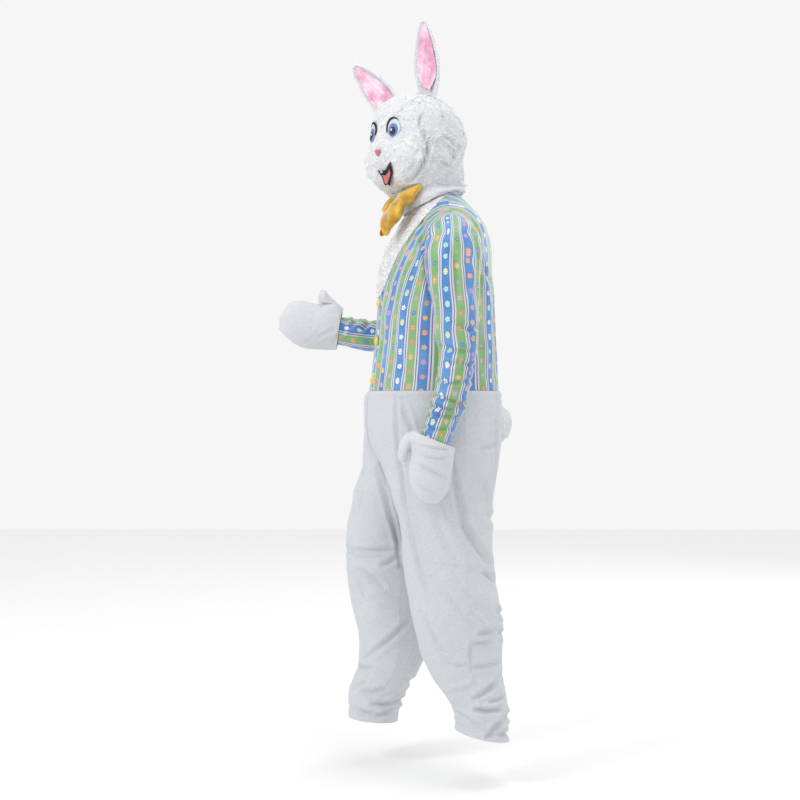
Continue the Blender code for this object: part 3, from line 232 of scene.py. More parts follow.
# printed satin: stripes run along v, the UV map is in metres of cloth
eggStripes = {
    "column": 0.033, "cell": 0.0378,  # one stripe across, and one motif along it
    "climb": 0.37,  # how far each column's motifs are moved on
    "egg": 0.0079, "blossomLess": -0.0018, "narrow": 0.78, "blossomWider": 0.2,
    "petals": 5.0, "petalDepth": 0.16, "heart": 0.42,
    "bandAt": 0.34, "bandHalf": 0.16, "bandInk": 0.75,  # the bands across an egg
    "whiteFrom": 0.352, "lilacFrom": 0.458,  # the edge of a stripe, from its middle
    # the lighter blue and green below are lit copies of the stripe colours: painted sheen
    "blue": (0.055, 0.19, 0.50), "blueSheen": (0.13, 0.32, 0.62),
    "green": (0.17, 0.38, 0.14), "greenSheen": (0.27, 0.47, 0.21),
    "white": (0.64, 0.64, 0.70), "lilac": (0.22, 0.15, 0.32),
    "bandGold": (0.85, 0.62, 0.12), "bandBlue": (0.20, 0.42, 0.66),
    "warm": (
        (0.0, (0.80, 0.22, 0.10)), (0.3, (0.78, 0.30, 0.26)),
        (0.55, (0.45, 0.25, 0.55)), (0.75, (0.82, 0.42, 0.14)),
    ),
    "cool": (
        (0.0, (0.82, 0.84, 0.86)), (0.3, (0.80, 0.78, 0.35)),
        (0.6, (0.45, 0.75, 0.62)), (0.8, (0.78, 0.86, 0.80)),
    ),
    "onGreen": (
        (0.0, (0.78, 0.24, 0.12)), (0.3, (0.10, 0.22, 0.55)),
        (0.6, (0.80, 0.36, 0.22)), (0.8, (0.42, 0.30, 0.52)),
    ),
    "evenShift": 400.0,  # keeps the column and row numbers above zero
    # the first size below is for the random patches of painted sheen
    "sheenPatches": 14.0, "weave": 900.0, "crumple": 38.0, "weaveHeight": 0.05,
    "rough": 0.42, "gloss": 0.45, "sheen": 0.25, "sheenRough": 0.4, "bump": 0.35, "depth": 0.006,
}


def printedSatin():
    look = eggStripes
    material, tree, finish = shader("printedSatin")

    def calc(operation, *values):
        return maths(tree, operation, *values)

    def turned(number, every):
        return calc("MODULO", calc("ADD", number, look["evenShift"]), every)

    uv = put(tree, "ShaderNodeUVMap", uv_map="cloth").outputs[0]
    split = put(tree, "ShaderNodeSeparateXYZ", {0: uv})
    along = calc("DIVIDE", split.outputs[0], look["column"])
    column = calc("FLOOR", along)
    across = calc("SUBTRACT", along, column)
    odd = turned(column, 2.0)  # blue and green in turn
    second = calc("FLOOR", calc("DIVIDE", turned(column, 4.0), 2.0))
    where = put(tree, "ShaderNodeTexCoord").outputs["Object"]
    # painted sheen: random noise patches blend each stripe colour towards its lit copy
    sheenPatches = calc("MULTIPLY_ADD", noiseAt(tree, where, look["sheenPatches"], 2.0).outputs[0], 2.0, -0.5)
    blue = mixed(tree, sheenPatches, (*look["blue"], 1), (*look["blueSheen"], 1))
    green = mixed(tree, sheenPatches, (*look["green"], 1), (*look["greenSheen"], 1))
    ground = mixed(tree, odd, blue, green)
    # motifs: one in each cell of a column, eggs and small blossoms in turn
    up = calc("ADD", calc("DIVIDE", split.outputs[1], look["cell"]), calc("MULTIPLY", column, look["climb"]))
    row = calc("FLOOR", up)
    x = calc("MULTIPLY", calc("SUBTRACT", across, 0.5), look["column"])
    y = calc("MULTIPLY", calc("SUBTRACT", calc("SUBTRACT", up, row), 0.5), look["cell"])
    blossom = turned(row, 2.0)
    size = calc("MULTIPLY_ADD", blossom, look["blossomLess"], look["egg"])
    cell = put(tree, "ShaderNodeCombineXYZ", {0: column, 1: row}).outputs[0]
    pick = put(tree, "ShaderNodeTexWhiteNoise", {"Vector": cell}, noise_dimensions="2D")
    wave = calc("COSINE", calc("MULTIPLY", calc("ARCTAN2", y, x), look["petals"]))
    petals = calc("MULTIPLY_ADD", wave, calc("MULTIPLY", blossom, look["petalDepth"]), 1.0)
    widest = calc("MULTIPLY", size, calc("MULTIPLY_ADD", blossom, look["blossomWider"], look["narrow"]))
    wide = calc("DIVIDE", x, widest)
    tall = calc("DIVIDE", y, size)
    away = calc("SQRT", calc("ADD", calc("MULTIPLY", wide, wide), calc("MULTIPLY", tall, tall)))
    away = calc("DIVIDE", away, petals)
    inside = calc("LESS_THAN", away, 1.0)
    fromBand = calc("ABSOLUTE", calc("SUBTRACT", calc("ABSOLUTE", tall), look["bandAt"]))
    band = calc("MULTIPLY", calc("LESS_THAN", fromBand, look["bandHalf"]), calc("SUBTRACT", 1.0, blossom))
    heart = calc("MULTIPLY", calc("LESS_THAN", away, look["heart"]), blossom)
    value = pick.outputs["Value"]
    coolTone = ramp(tree, value, look["cool"], "CONSTANT")
    warmTone = ramp(tree, value, look["warm"], "CONSTANT")
    motif = mixed(tree, second, coolTone, warmTone)
    motif = mixed(tree, odd, motif, ramp(tree, value, look["onGreen"], "CONSTANT"))
    chance = put(tree, "ShaderNodeSeparateColor", {0: pick.outputs["Color"]}).outputs[1]
    bandTone = mixed(tree, chance, (*look["bandGold"], 1), (*look["bandBlue"], 1))
    motif = mixed(tree, calc("MULTIPLY", calc("MAXIMUM", band, heart), look["bandInk"]), motif, bandTone)
    ground = mixed(tree, inside, ground, motif)
    edge = calc("ABSOLUTE", calc("SUBTRACT", across, 0.5))
    ground = mixed(tree, calc("GREATER_THAN", edge, look["whiteFrom"]), ground, (*look["white"], 1))
    ground = mixed(tree, calc("GREATER_THAN", edge, look["lilacFrom"]), ground, (*look["lilac"], 1))
    weave = noiseAt(tree, where, look["weave"], 2.0).outputs[0]
    crumple = noiseAt(tree, where, look["crumple"], 3.0).outputs[0]
    height = calc("MULTIPLY_ADD", weave, look["weaveHeight"], crumple)
    surfaced(tree, finish, ground, height, look, {
        "Roughness": look["rough"], "Specular IOR Level": look["gloss"],
        "Sheen Weight": look["sheen"], "Sheen Roughness": look["sheenRough"],
    })
    return material


shinyCloth = {  # what the pink and the gold satin share
    # the two ramp stops place each satin's painted shade and painted highlight
    "paintedShine": 22.0, "paintedShadeAt": 0.35, "lightAt": 0.65, "thread": 700.0, "crumple": 60.0, "threadHeight": 0.06,
    "bump": 0.3, "depth": 0.004, "gloss": 0.6, "sheen": 0.3,
}


# deep and light are each satin's painted shade colour and painted highlight colour
def glossySatin(name, deep, light, shine):
    look = shinyCloth
    material, tree, finish = shader(name)
    where = put(tree, "ShaderNodeTexCoord").outputs["Object"]
    # painted highlight and shade: noise patches blend from the shaded tone to the lit tone, standing in for the
    # gloss and the fold shade
    paintedShine = noiseAt(tree, where, look["paintedShine"], 2.0).outputs[0]
    tone = ramp(tree, paintedShine, ((look["paintedShadeAt"], deep), (look["lightAt"], light)))
    thread = noiseAt(tree, where, look["thread"], 2.0).outputs[0]
    crumple = noiseAt(tree, where, look["crumple"], 2.0).outputs[0]
    height = maths(tree, "MULTIPLY_ADD", thread, look["threadHeight"], crumple)
    surfaced(tree, finish, tone, height, look, {
        "Roughness": shine, "Specular IOR Level": look["gloss"], "Sheen Weight": look["sheen"],
    })
    return material


feltGrain = {"darker": 0.82, "darkAt": 0.35, "lightAt": 0.6, "bump": 0.4, "depth": 0.0006}


def plain(name, colour, roughness, grain=300.0):
    look = feltGrain
    material, tree, finish = shader(name)
    where = put(tree, "ShaderNodeTexCoord").outputs["Object"]
    speck = noiseAt(tree, where, grain, 3.0).outputs[0]
    darker = tuple(c * look["darker"] for c in colour)
    tone = ramp(tree, speck, ((look["darkAt"], darker), (look["lightAt"], colour)))
    surfaced(tree, finish, tone, speck, look, {"Roughness": roughness})
    return material


satinPrint = printedSatin()
# each satin's two tones: its painted shade, then its painted highlight
pinkSatin = glossySatin("pinkSatin", (0.70, 0.30, 0.47), (0.92, 0.66, 0.78), 0.28)
goldSatin = glossySatin("goldSatin", (0.46, 0.22, 0.005), (0.78, 0.49, 0.035), 0.22)
eyeWhite = plain("eyeWhite", (0.60, 0.65, 0.74), 0.35)
toothWhite = plain("toothWhite", (0.80, 0.80, 0.80), 0.4)
eyeBlue = plain("eyeBlue", (0.10, 0.20, 0.44), 0.5)
eyeNavy = plain("eyeNavy", (0.008, 0.012, 0.05), 0.6)
blackFelt = plain("blackFelt", (0.012, 0.012, 0.018), 0.9, 500.0)
coralFelt = plain("coralFelt", (0.62, 0.16, 0.17), 0.85, 500.0)
nosePink = plain("nosePink", (0.62, 0.17, 0.22), 0.5, 500.0)
buttonYellow = plain("buttonYellow", (0.80, 0.62, 0.08), 0.3, 120.0)
print("materials done")

# folds: each row is a side, a width in pixels, a height in mm and the crease's own points on the photo.
# side 1 is the shown side, -1 the far side behind the same pixels. Seen from behind, the two numbers are the
# way to the wearer's left and the way down from the origin, and side 1 is the back, -1 the front
behindScale = 400.0  # steps for one metre
# bank: the swell beside a trough
crease = {"turn": 2.0, "over": 0.35, "ends": 0.07, "bank": 0.45, "bankAt": 2.1}


def creased(points, outward, folds, strength=1.0, behind=False):
    shot = np.stack([points[:, 0], -points[:, 2]], axis=1) * behindScale if behind else onPhoto(points)
    faced = outward[:, 1] if behind else outward[:, 0]
    total = np.zeros(len(points))
    for side, width, height, *path in folds:
        facing = np.clip(faced * side * crease["turn"] + crease["over"], 0, 1)
        path = np.array(path, float).reshape(-1, 2)
        nearest = np.full(len(points), 1e9)
        share = np.zeros(len(points))
        for k in range(len(path) - 1):
            step = path[k + 1] - path[k]
            f = np.clip(((shot - path[k]) @ step) / (step @ step), 0, 1)
            gap = np.linalg.norm(shot - path[k] - f[:, None] * step, axis=1)
            closer = gap < nearest
            nearest = np.where(closer, gap, nearest)
            share = np.where(closer, (k + f) / (len(path) - 1), share)
        share = np.clip(share * (1 - 2 * crease["ends"]) + crease["ends"], 0, 1)
        fade = np.sqrt(np.clip(np.sin(np.pi * share), 0, 1))
        bank = np.exp(-((nearest - crease["bankAt"] * width) / width) ** 2)
        crest = np.exp(-(nearest / width) ** 2) - crease["bank"] * bank
        total += strength * height * 0.001 * crest * fade * facing
    return total


def ripples(points, scale, amount, seed):
    shift = Vector((seed * 3.1, seed * 1.7, seed * 0.9))
    return np.array([noise.noise(Vector(p) * scale + shift) for p in points]) * amount


def fromAxis(points, axis):
    axis = np.array(axis, float)  # rows of x, y, z down the middle of a tube
    best = np.full(len(points), 1e9)
    foot = np.zeros_like(points)
    for a, b in zip(axis[:-1], axis[1:]):
        step = b - a
        f = np.clip(((points - a) @ step) / (step @ step), 0, 1)
        spot = a + f[:, None] * step
        gap = np.linalg.norm(points - spot, axis=1)
        foot = np.where((gap < best)[:, None], spot, foot)
        best = np.minimum(best, gap)
    out = points - foot
    return out / np.maximum(np.linalg.norm(out, axis=1), 1e-6)[:, None]


def pulled(piece, pulls):
    points = places(piece)
    shot = onPhoto(points)
    pixel = (camera["place"][0] - points[:, 0]) / pixels
    for x, y, pullX, pullY, reach in pulls:
        near = np.exp(-((shot[:, 0] - x) ** 2 + (shot[:, 1] - y) ** 2) / reach ** 2)
        points[:, 1] += near * pullX * pixel
        points[:, 2] -= near * pullY * pixel
    setPlaces(piece, points)


def moved(piece, outward, height):
    setPlaces(piece, places(piece) + outward * height[:, None])


# fur: one lock of nine triangles, copied over a piece
ringTurns = [2 * math.pi * k / 3 for k in range(3)]
waist = 0.7  # how thick a lock is at its middle
lockFoot = [(math.cos(a), math.sin(a), 0.0) for a in ringTurns]
lockMiddle = [(waist * math.cos(a), waist * math.sin(a), 0.5) for a in ringTurns]
lockPoints = np.array(lockFoot + lockMiddle + [(0, 0, 1.0)])
lockBend = np.array([0, 0, 0, 0.10, 0.10, 0.10, 0.36])
lockFaces = [(k, (k + 1) % 3, 3 + (k + 1) % 3) for k in range(3)]
lockFaces += [(k, 3 + (k + 1) % 3, 3 + k) for k in range(3)]
lockFaces = np.array(lockFaces + [(3 + k, 3 + (k + 1) % 3, 6) for k in range(3)])
furHabit = {
    "swirlScale": 30.0, "swirl": 2.0, "swirlOwn": 0.35,  # how the locks turn together, and each by itself
    "liftScale": 55.0, "liftMore": 0.5, "liftOwn": 0.12,
    "shortest": 0.6, "longest": 1.25, "sunk": 0.0012,
    "footClear": 0.0045, "tipClear": 0.003,  # room kept to the trims
}


def unit(rows):
    return rows / np.maximum(np.linalg.norm(rows, axis=1), 1e-9)[:, None]


def grow(name, pieces, look, keepOff=None):
    random = np.random.default_rng(look["seed"])
    corners = []
    for piece in pieces:
        piece.data.calc_loop_triangles()
        points = places(piece)
        corners.append(points[np.array([t.vertices for t in piece.data.loop_triangles])])
    corners = np.concatenate(corners)
    cross = np.cross(corners[:, 1] - corners[:, 0], corners[:, 2] - corners[:, 0])
    size = np.linalg.norm(cross, axis=1)
    away = corners.mean(axis=1) - np.array(look["middle"])
    if look.get("upright"):
        away[:, 2] = 0
    size = np.where((unit(cross) * unit(away)).sum(axis=1) > look.get("facing", 0.25), size, 0)
    chosen = random.choice(len(size), look["count"], p=size / size.sum())
    a, b = random.random((2, look["count"]))
    flip = a + b > 1
    a, b = np.where(flip, 1 - a, a), np.where(flip, 1 - b, b)
    tri = corners[chosen]
    base = tri[:, 0] + a[:, None] * (tri[:, 1] - tri[:, 0]) + b[:, None] * (tri[:, 2] - tri[:, 0])
    normal = unit(cross[chosen])
    habit = furHabit
    swirl = np.array([noise.noise(Vector(q) * habit["swirlScale"]) for q in base]) * habit["swirl"]
    swirl = swirl + random.normal(0, habit["swirlOwn"], len(base))
    flow = np.array(look["flow"], float)
    along = unit(flow - normal * (normal @ flow)[:, None])
    side = np.cross(normal, along)
    along = along * np.cos(swirl)[:, None] + side * np.sin(swirl)[:, None]
    side = np.cross(normal, along)
    rise = np.array([noise.noise(Vector(q) * habit["liftScale"] + Vector((7, 7, 7))) for q in base])
    lift = look["lift"] + rise * habit["liftMore"] + random.normal(0, habit["liftOwn"], len(base))
    axis = along * np.cos(lift)[:, None] + normal * np.sin(lift)[:, None]
    back = along * np.sin(lift)[:, None] - normal * np.cos(lift)[:, None]
    long = look["long"] * random.uniform(habit["shortest"], habit["longest"], len(base))
    if keepOff is not None:
        ends = base + axis * long[:, None]
        footFree = np.array([keepOff.find(Vector(q))[2] > habit["footClear"] for q in base])
        free = footFree & np.array([keepOff.find(Vector(q))[2] > habit["tipClear"] for q in ends])
        base, normal, side, axis, back, long = (rows[free] for rows in (base, normal, side, axis, back, long))
    base = base - normal * habit["sunk"]
    unitX, unitY, unitZ = (lockPoints[None, :, k, None] for k in range(3))
    reach = long[:, None, None]
    points = base[:, None] + side[:, None] * (unitX * look["wide"]) + back[:, None] * (unitY * look["wide"])
    points = points + axis[:, None] * (unitZ * reach) + back[:, None] * (lockBend[None, :, None] * reach)
    faces = (lockFaces[None] + 7 * np.arange(len(base))[:, None, None]).reshape(-1, 3)
    mesh = bpy.data.meshes.new(name)
    mesh.from_pydata(points.reshape(-1, 3).tolist(), [], faces.tolist())
    mesh.polygons.foreach_set("use_smooth", [True] * len(faces))
    tufts = bpy.data.objects.new(name, mesh)
    bpy.context.scene.collection.objects.link(tufts)
    mesh.materials.append(look["material"])
    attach(tufts, "root")
    return tufts


def nearTo(names):
    spots = [v.co.copy() for n in names for v in nodes[n].data.vertices]
    spots += [p.center.copy() for n in names for p in nodes[n].data.polygons]
    tree = KDTree(len(spots))
    for k, spot in enumerate(spots):
        tree.insert(spot, k)
    tree.balance()
    return tree


# jumpsuit top and sleeves
trunkLine = ((0, 0, -0.7), (0, 0, 0.2))
top = {
    "yaw": 9.0, "halfWidth": 0.205, "front": 0.176, "back": 0.143, "flat": (0.34, 0.56), "share": 0.74,
    "deep": 1.4, "behindDeep": 1.3, "rippleScale": 14.0, "ripple": 0.0030,
    "waist": -0.516, "waistHold": 0.02,  # the creases die out above the waist seam
    "along": 0.85, "letGo": 0.75,  # how closely the front stripes follow the collar, and lose it to the side
    "collarLevels": (-0.38, -0.34, -0.30, -0.27, -0.245, -0.220, -0.186, -0.145, -0.105, -0.070, -0.032),
    "collarReach": (0.0, 0.003, 0.012, 0.026, 0.042, 0.060, 0.088, 0.119, 0.143, 0.158, 0.165),
    "folds": (
        (1, 3.0, -5.0, 421, 215, 424, 240, 431, 268, 433, 296),
        (1, 2.5, 3.5, 416, 226, 418, 250, 424, 285),
        (1, 2.5, -3.5, 428, 250, 430, 290, 432, 330),
        (1, 4.0, 3.0, 408, 250, 404, 300, 402, 350),
        (1, 3.0, -3.0, 392, 290, 392, 330, 390, 372),
        (1, 3.0, -3.5, 472, 250, 482, 290, 486, 340),
        (1, 3.0, -3.0, 478, 330, 484, 360, 488, 386),
        (1, 4.0, -2.5, 398, 360, 412, 386),
        (-1, 3.5, -4.0, 420, 220, 424, 260, 420, 300),
        (-1, 3.0, -3.5, 470, 240, 480, 290, 484, 330),
        (-1, 4.0, 3.0, 440, 300, 440, 340, 436, 380),
        (-1, 3.0, -3.0, 400, 300, 402, 350, 398, 384),
    ),
    "behindFolds": (
        (1, 3.6, -4.5, -30, 60, -36, 110, -27, 160, -22, 198),
        (1, 3.8, -4.0, 27, 72, 37, 120, 31, 196),
        (1, 3.0, -4.5, -73, 62, -58, 84, -43, 94),
        (1, 3.2, -4.5, 74, 56, 61, 79, 48, 92),
        (1, 4.0, 3.0, 5, 90, 0, 150, 7, 196),
        (1, 2.6, -3.5, -56, 150, -50, 198),
        (1, 2.8, -3.5, 55, 158, 49, 198),
        (1, 2.6, -3.5, -21, 26, 0, 32, 24, 27),
        (1, 3.0, -3.0, -62, 112, -52, 126, -36, 130),
        (-1, 3.0, -3.5, -42, 122, -37, 196),
        (-1, 3.2, -3.5, 37, 132, 33, 196),
        (-1, 2.6, -3.0, -60, 90, -50, 112, -46, 130),
    ),
}


def quarterArc(reach):
    turn = np.linspace(0, math.pi / 2, 91)
    x, y = top["halfWidth"] * np.sin(turn), reach * np.cos(turn)
    return x, np.concatenate([[0], np.cumsum(np.hypot(np.diff(x), np.diff(y)))])


def unrollTop(piece, back):
    points = places(piece)
    yaw = math.radians(top["yaw"])
    x = points[:, 0] * math.cos(yaw) + points[:, 1] * math.sin(yaw)
    frontX, frontArc = quarterArc(top["front"])
    backX, backArc = quarterArc(top["back"])
    size = np.abs(x)
    edge = np.interp(points[:, 2], top["collarLevels"], top["collarReach"])
    if back:
        u = frontArc[-1] + backArc[-1] - np.interp(size, backX, backArc)
        u = np.where(size > top["halfWidth"], frontArc[-1], u)
    else:
        u = np.interp(size, frontX, frontArc)
        share = np.clip((u - edge) / (frontArc[-1] - edge), 0, 1)
        u = u - top["along"] * edge * (1 - top["letGo"] * share)
    writeUv(piece, np.sign(x) * u, points[:, 2])


def writeUv(piece, u, v, wrap=None):
    layer = piece.data.uv_layers.new(name="cloth")
    for old in [l for l in piece.data.uv_layers if l.name != "cloth"]:
        piece.data.uv_layers.remove(old)
    layer = piece.data.uv_layers["cloth"]
    loops = np.zeros(len(piece.data.loops), np.int32)
    piece.data.loops.foreach_get("vertex_index", loops)
    us, vs = u[loops].copy(), v[loops]
    if wrap is not None:
        wrap = wrap[loops]
        start = np.array([p.loop_start for p in piece.data.polygons])
        size = np.array([p.loop_total for p in piece.data.polygons])
        owner = np.repeat(np.arange(len(start)), size)
        high = np.full(len(start), -1e9)
        np.maximum.at(high, owner, us)
        us = np.where(high[owner] - us > wrap / 2, us + wrap, us)
    layer.data.foreach_set("uv", np.stack([us, vs], axis=1).astype(np.float32).ravel())


def makeTop():
    for side in ("left", "right"):
        for half in ("front", "back"):
            node = f"top_{half}_{side}"
            piece = refined(node, f"{half}Panel{side.title()}")
            points = places(piece)
            outward = fromAxis(points, trunkLine)
            unrollTop(piece, half == "back")
            height = creased(points, outward, top["folds"], top["deep"])
            height += ripples(points, top["rippleScale"], top["ripple"], 1)
            height += creased(points, outward, top["behindFolds"], top["behindDeep"], behind=True)
            hold = np.clip((points[:, 2] - top["waist"]) / top["waistHold"], 0, 1)
            moved(piece, outward, height * hold)
            dressed(piece, node, satinPrint)


# each arm: x, y, z and the sleeve's radius, from the shoulder to the cuff
arms = {
    "left": (
        (0.205, 0.026, -0.128, 0.0720), (0.2613, 0.026, -0.170, 0.0717), (0.2715, 0.025, -0.2125, 0.0674),
        (0.275, 0.028, -0.2625, 0.0620), (0.279, 0.034, -0.320, 0.0575), (0.282, 0.032, -0.377, 0.0560),
        (0.284, 0.038, -0.415, 0.0490), (0.284, 0.032, -0.450, 0.0480), (0.282, 0.027, -0.490, 0.0475),
        (0.277, 0.018, -0.530, 0.0485), (0.271, 0.007, -0.570, 0.0495), (0.268, -0.008, -0.610, 0.0455),
        (0.268, -0.020, -0.645, 0.0407), (0.268, -0.025, -0.720, 0.0360),
    ),
    "right": (
        (-0.205, -0.028, -0.128, 0.0705), (-0.2613, -0.028, -0.170, 0.0700), (-0.272, -0.024, -0.207, 0.0655),
        (-0.279, -0.018, -0.242, 0.0610), (-0.284, -0.015, -0.280, 0.0595), (-0.287, -0.026, -0.315, 0.0585),
        (-0.288, -0.052, -0.341, 0.0560), (-0.288, -0.087, -0.353, 0.0515), (-0.288, -0.130, -0.356, 0.0485),
        (-0.288, -0.175, -0.355, 0.0473), (-0.287, -0.215, -0.351, 0.0460), (-0.286, -0.250, -0.3465, 0.0440),
        (-0.285, -0.285, -0.339, 0.0417), (-0.285, -0.360, -0.330, 0.0370),
    ),
}
sleeve = {
    "levels": 3, "flat": (0.40, 0.66), "share": 0.86, "deep": 1.7, "rippleScale": 24.0, "ripple": 0.0026,
    "start": {"left": -0.0081, "right": 0.0284},  # where the print starts
    "straight": {"left": 0.0, "right": math.pi}, "seam": {"left": -math.pi, "right": -math.pi / 2},
    "cuff": {"left": 0.535, "right": 0.475}, "cuffHold": 0.02, "shoulderHold": 0.03,
    "leftFolds": (
        (1, 2.2, -4.5, 452, 322, 470, 330, 484, 326),
        (1, 2.2, -4.0, 440, 345, 456, 352, 474, 350),
        (1, 2.0, -4.0, 444, 366, 460, 362, 478, 368),
        (1, 1.8, -5.0, 433, 378, 450, 384, 470, 380),
        (1, 1.8, -5.5, 429, 392, 444, 399, 462, 404, 474, 402),
        (1, 1.8, -5.0, 424, 403, 438, 408, 449, 410, 462, 405),
        (1, 1.6, -4.5, 421, 413, 434, 416, 448, 416, 462, 418),
        (1, 1.6, -4.0, 420, 426, 436, 430, 452, 428),
        (1, 2.4, -3.5, 446, 232, 456, 262, 458, 300),
        (1, 2.4, 3.0, 470, 236, 474, 262, 470, 300),
        (-1, 2.2, -4.5, 440, 380, 460, 384, 474, 378),
        (-1, 2.2, -4.5, 430, 396, 450, 402, 468, 398),
        (-1, 2.0, -4.0, 426, 410, 444, 416, 458, 414),
        (-1, 2.4, -3.5, 446, 330, 462, 336, 480, 332),
    ),
    "rightFolds": (
        (1, 2.0, -6.0, 372, 318, 366, 326, 360, 330),
        (1, 1.8, -6.0, 358, 316, 353, 324, 348, 328),
        (1, 1.8, -5.0, 347, 320, 345, 328, 342, 334),
        (1, 2.0, -4.0, 374, 338, 360, 336, 346, 332),
        (-1, 2.0, -5.0, 368, 320, 360, 334, 352, 338),
        (-1, 2.0, -5.0, 352, 320, 348, 334, 342, 338),
        (-1, 3.0, -5.0, 410, 330, 420, 318, 440, 322),
        (-1, 3.0, -4.0, 430, 300, 446, 296, 460, 300),
    ),
}


def makeSleeves():
    for side, arm in arms.items():
        node = f"sleeve_{side}"
        piece = refined(node, f"sleeve{side.title()}", sleeve["levels"])
        points = places(piece)
        line, radii = np.array(arm)[:, :3], np.array(arm)[:, 3]
        outward = fromAxis(points, line)
        lengths = np.concatenate([[0], np.cumsum(np.linalg.norm(np.diff(line, axis=0), axis=1))])
        near = np.argmin(np.linalg.norm(points[:, None, :] - line[None], axis=2), axis=1)
        step = np.array([line[min(i + 1, len(line) - 1)] - line[max(i - 1, 0)] for i in range(len(line))])
        step /= np.linalg.norm(step, axis=1)[:, None]
        v = lengths[near] + ((points - line[near]) * step[near]).sum(axis=1)
        forward = np.array([np.cross(s, (1.0, 0, 0)) for s in step])
        forward /= np.linalg.norm(forward, axis=1)[:, None]
        sign = 1 if side == "left" else -1
        rise = (outward * forward[near]).sum(axis=1)
        turn = np.arctan2(rise, outward[:, 0] * sign)  # 0 on the outer side of the arm
        seam = sleeve["seam"][side]
        turn = np.mod(turn - seam, 2 * math.pi) + seam
        radius = np.interp(v, lengths, radii)
        u = (turn - sleeve["straight"][side]) * radius + sleeve["start"][side]
        writeUv(piece, u, -v, 2 * math.pi * radius)
        height = creased(points, outward, sleeve[f"{side}Folds"], sleeve["deep"])
        height = height + ripples(points, sleeve["rippleScale"], sleeve["ripple"], 2)
        start = np.clip((np.abs(points[:, 0]) - top["halfWidth"]) / sleeve["shoulderHold"], 0, 1)
        inMitten = np.clip((v - sleeve["cuff"][side]) / sleeve["cuffHold"], 0, 1)
        moved(piece, outward, height * start * (1 - inMitten))
        dressed(piece, node, satinPrint)


makeTop()
makeSleeves()
print("top and sleeves done")

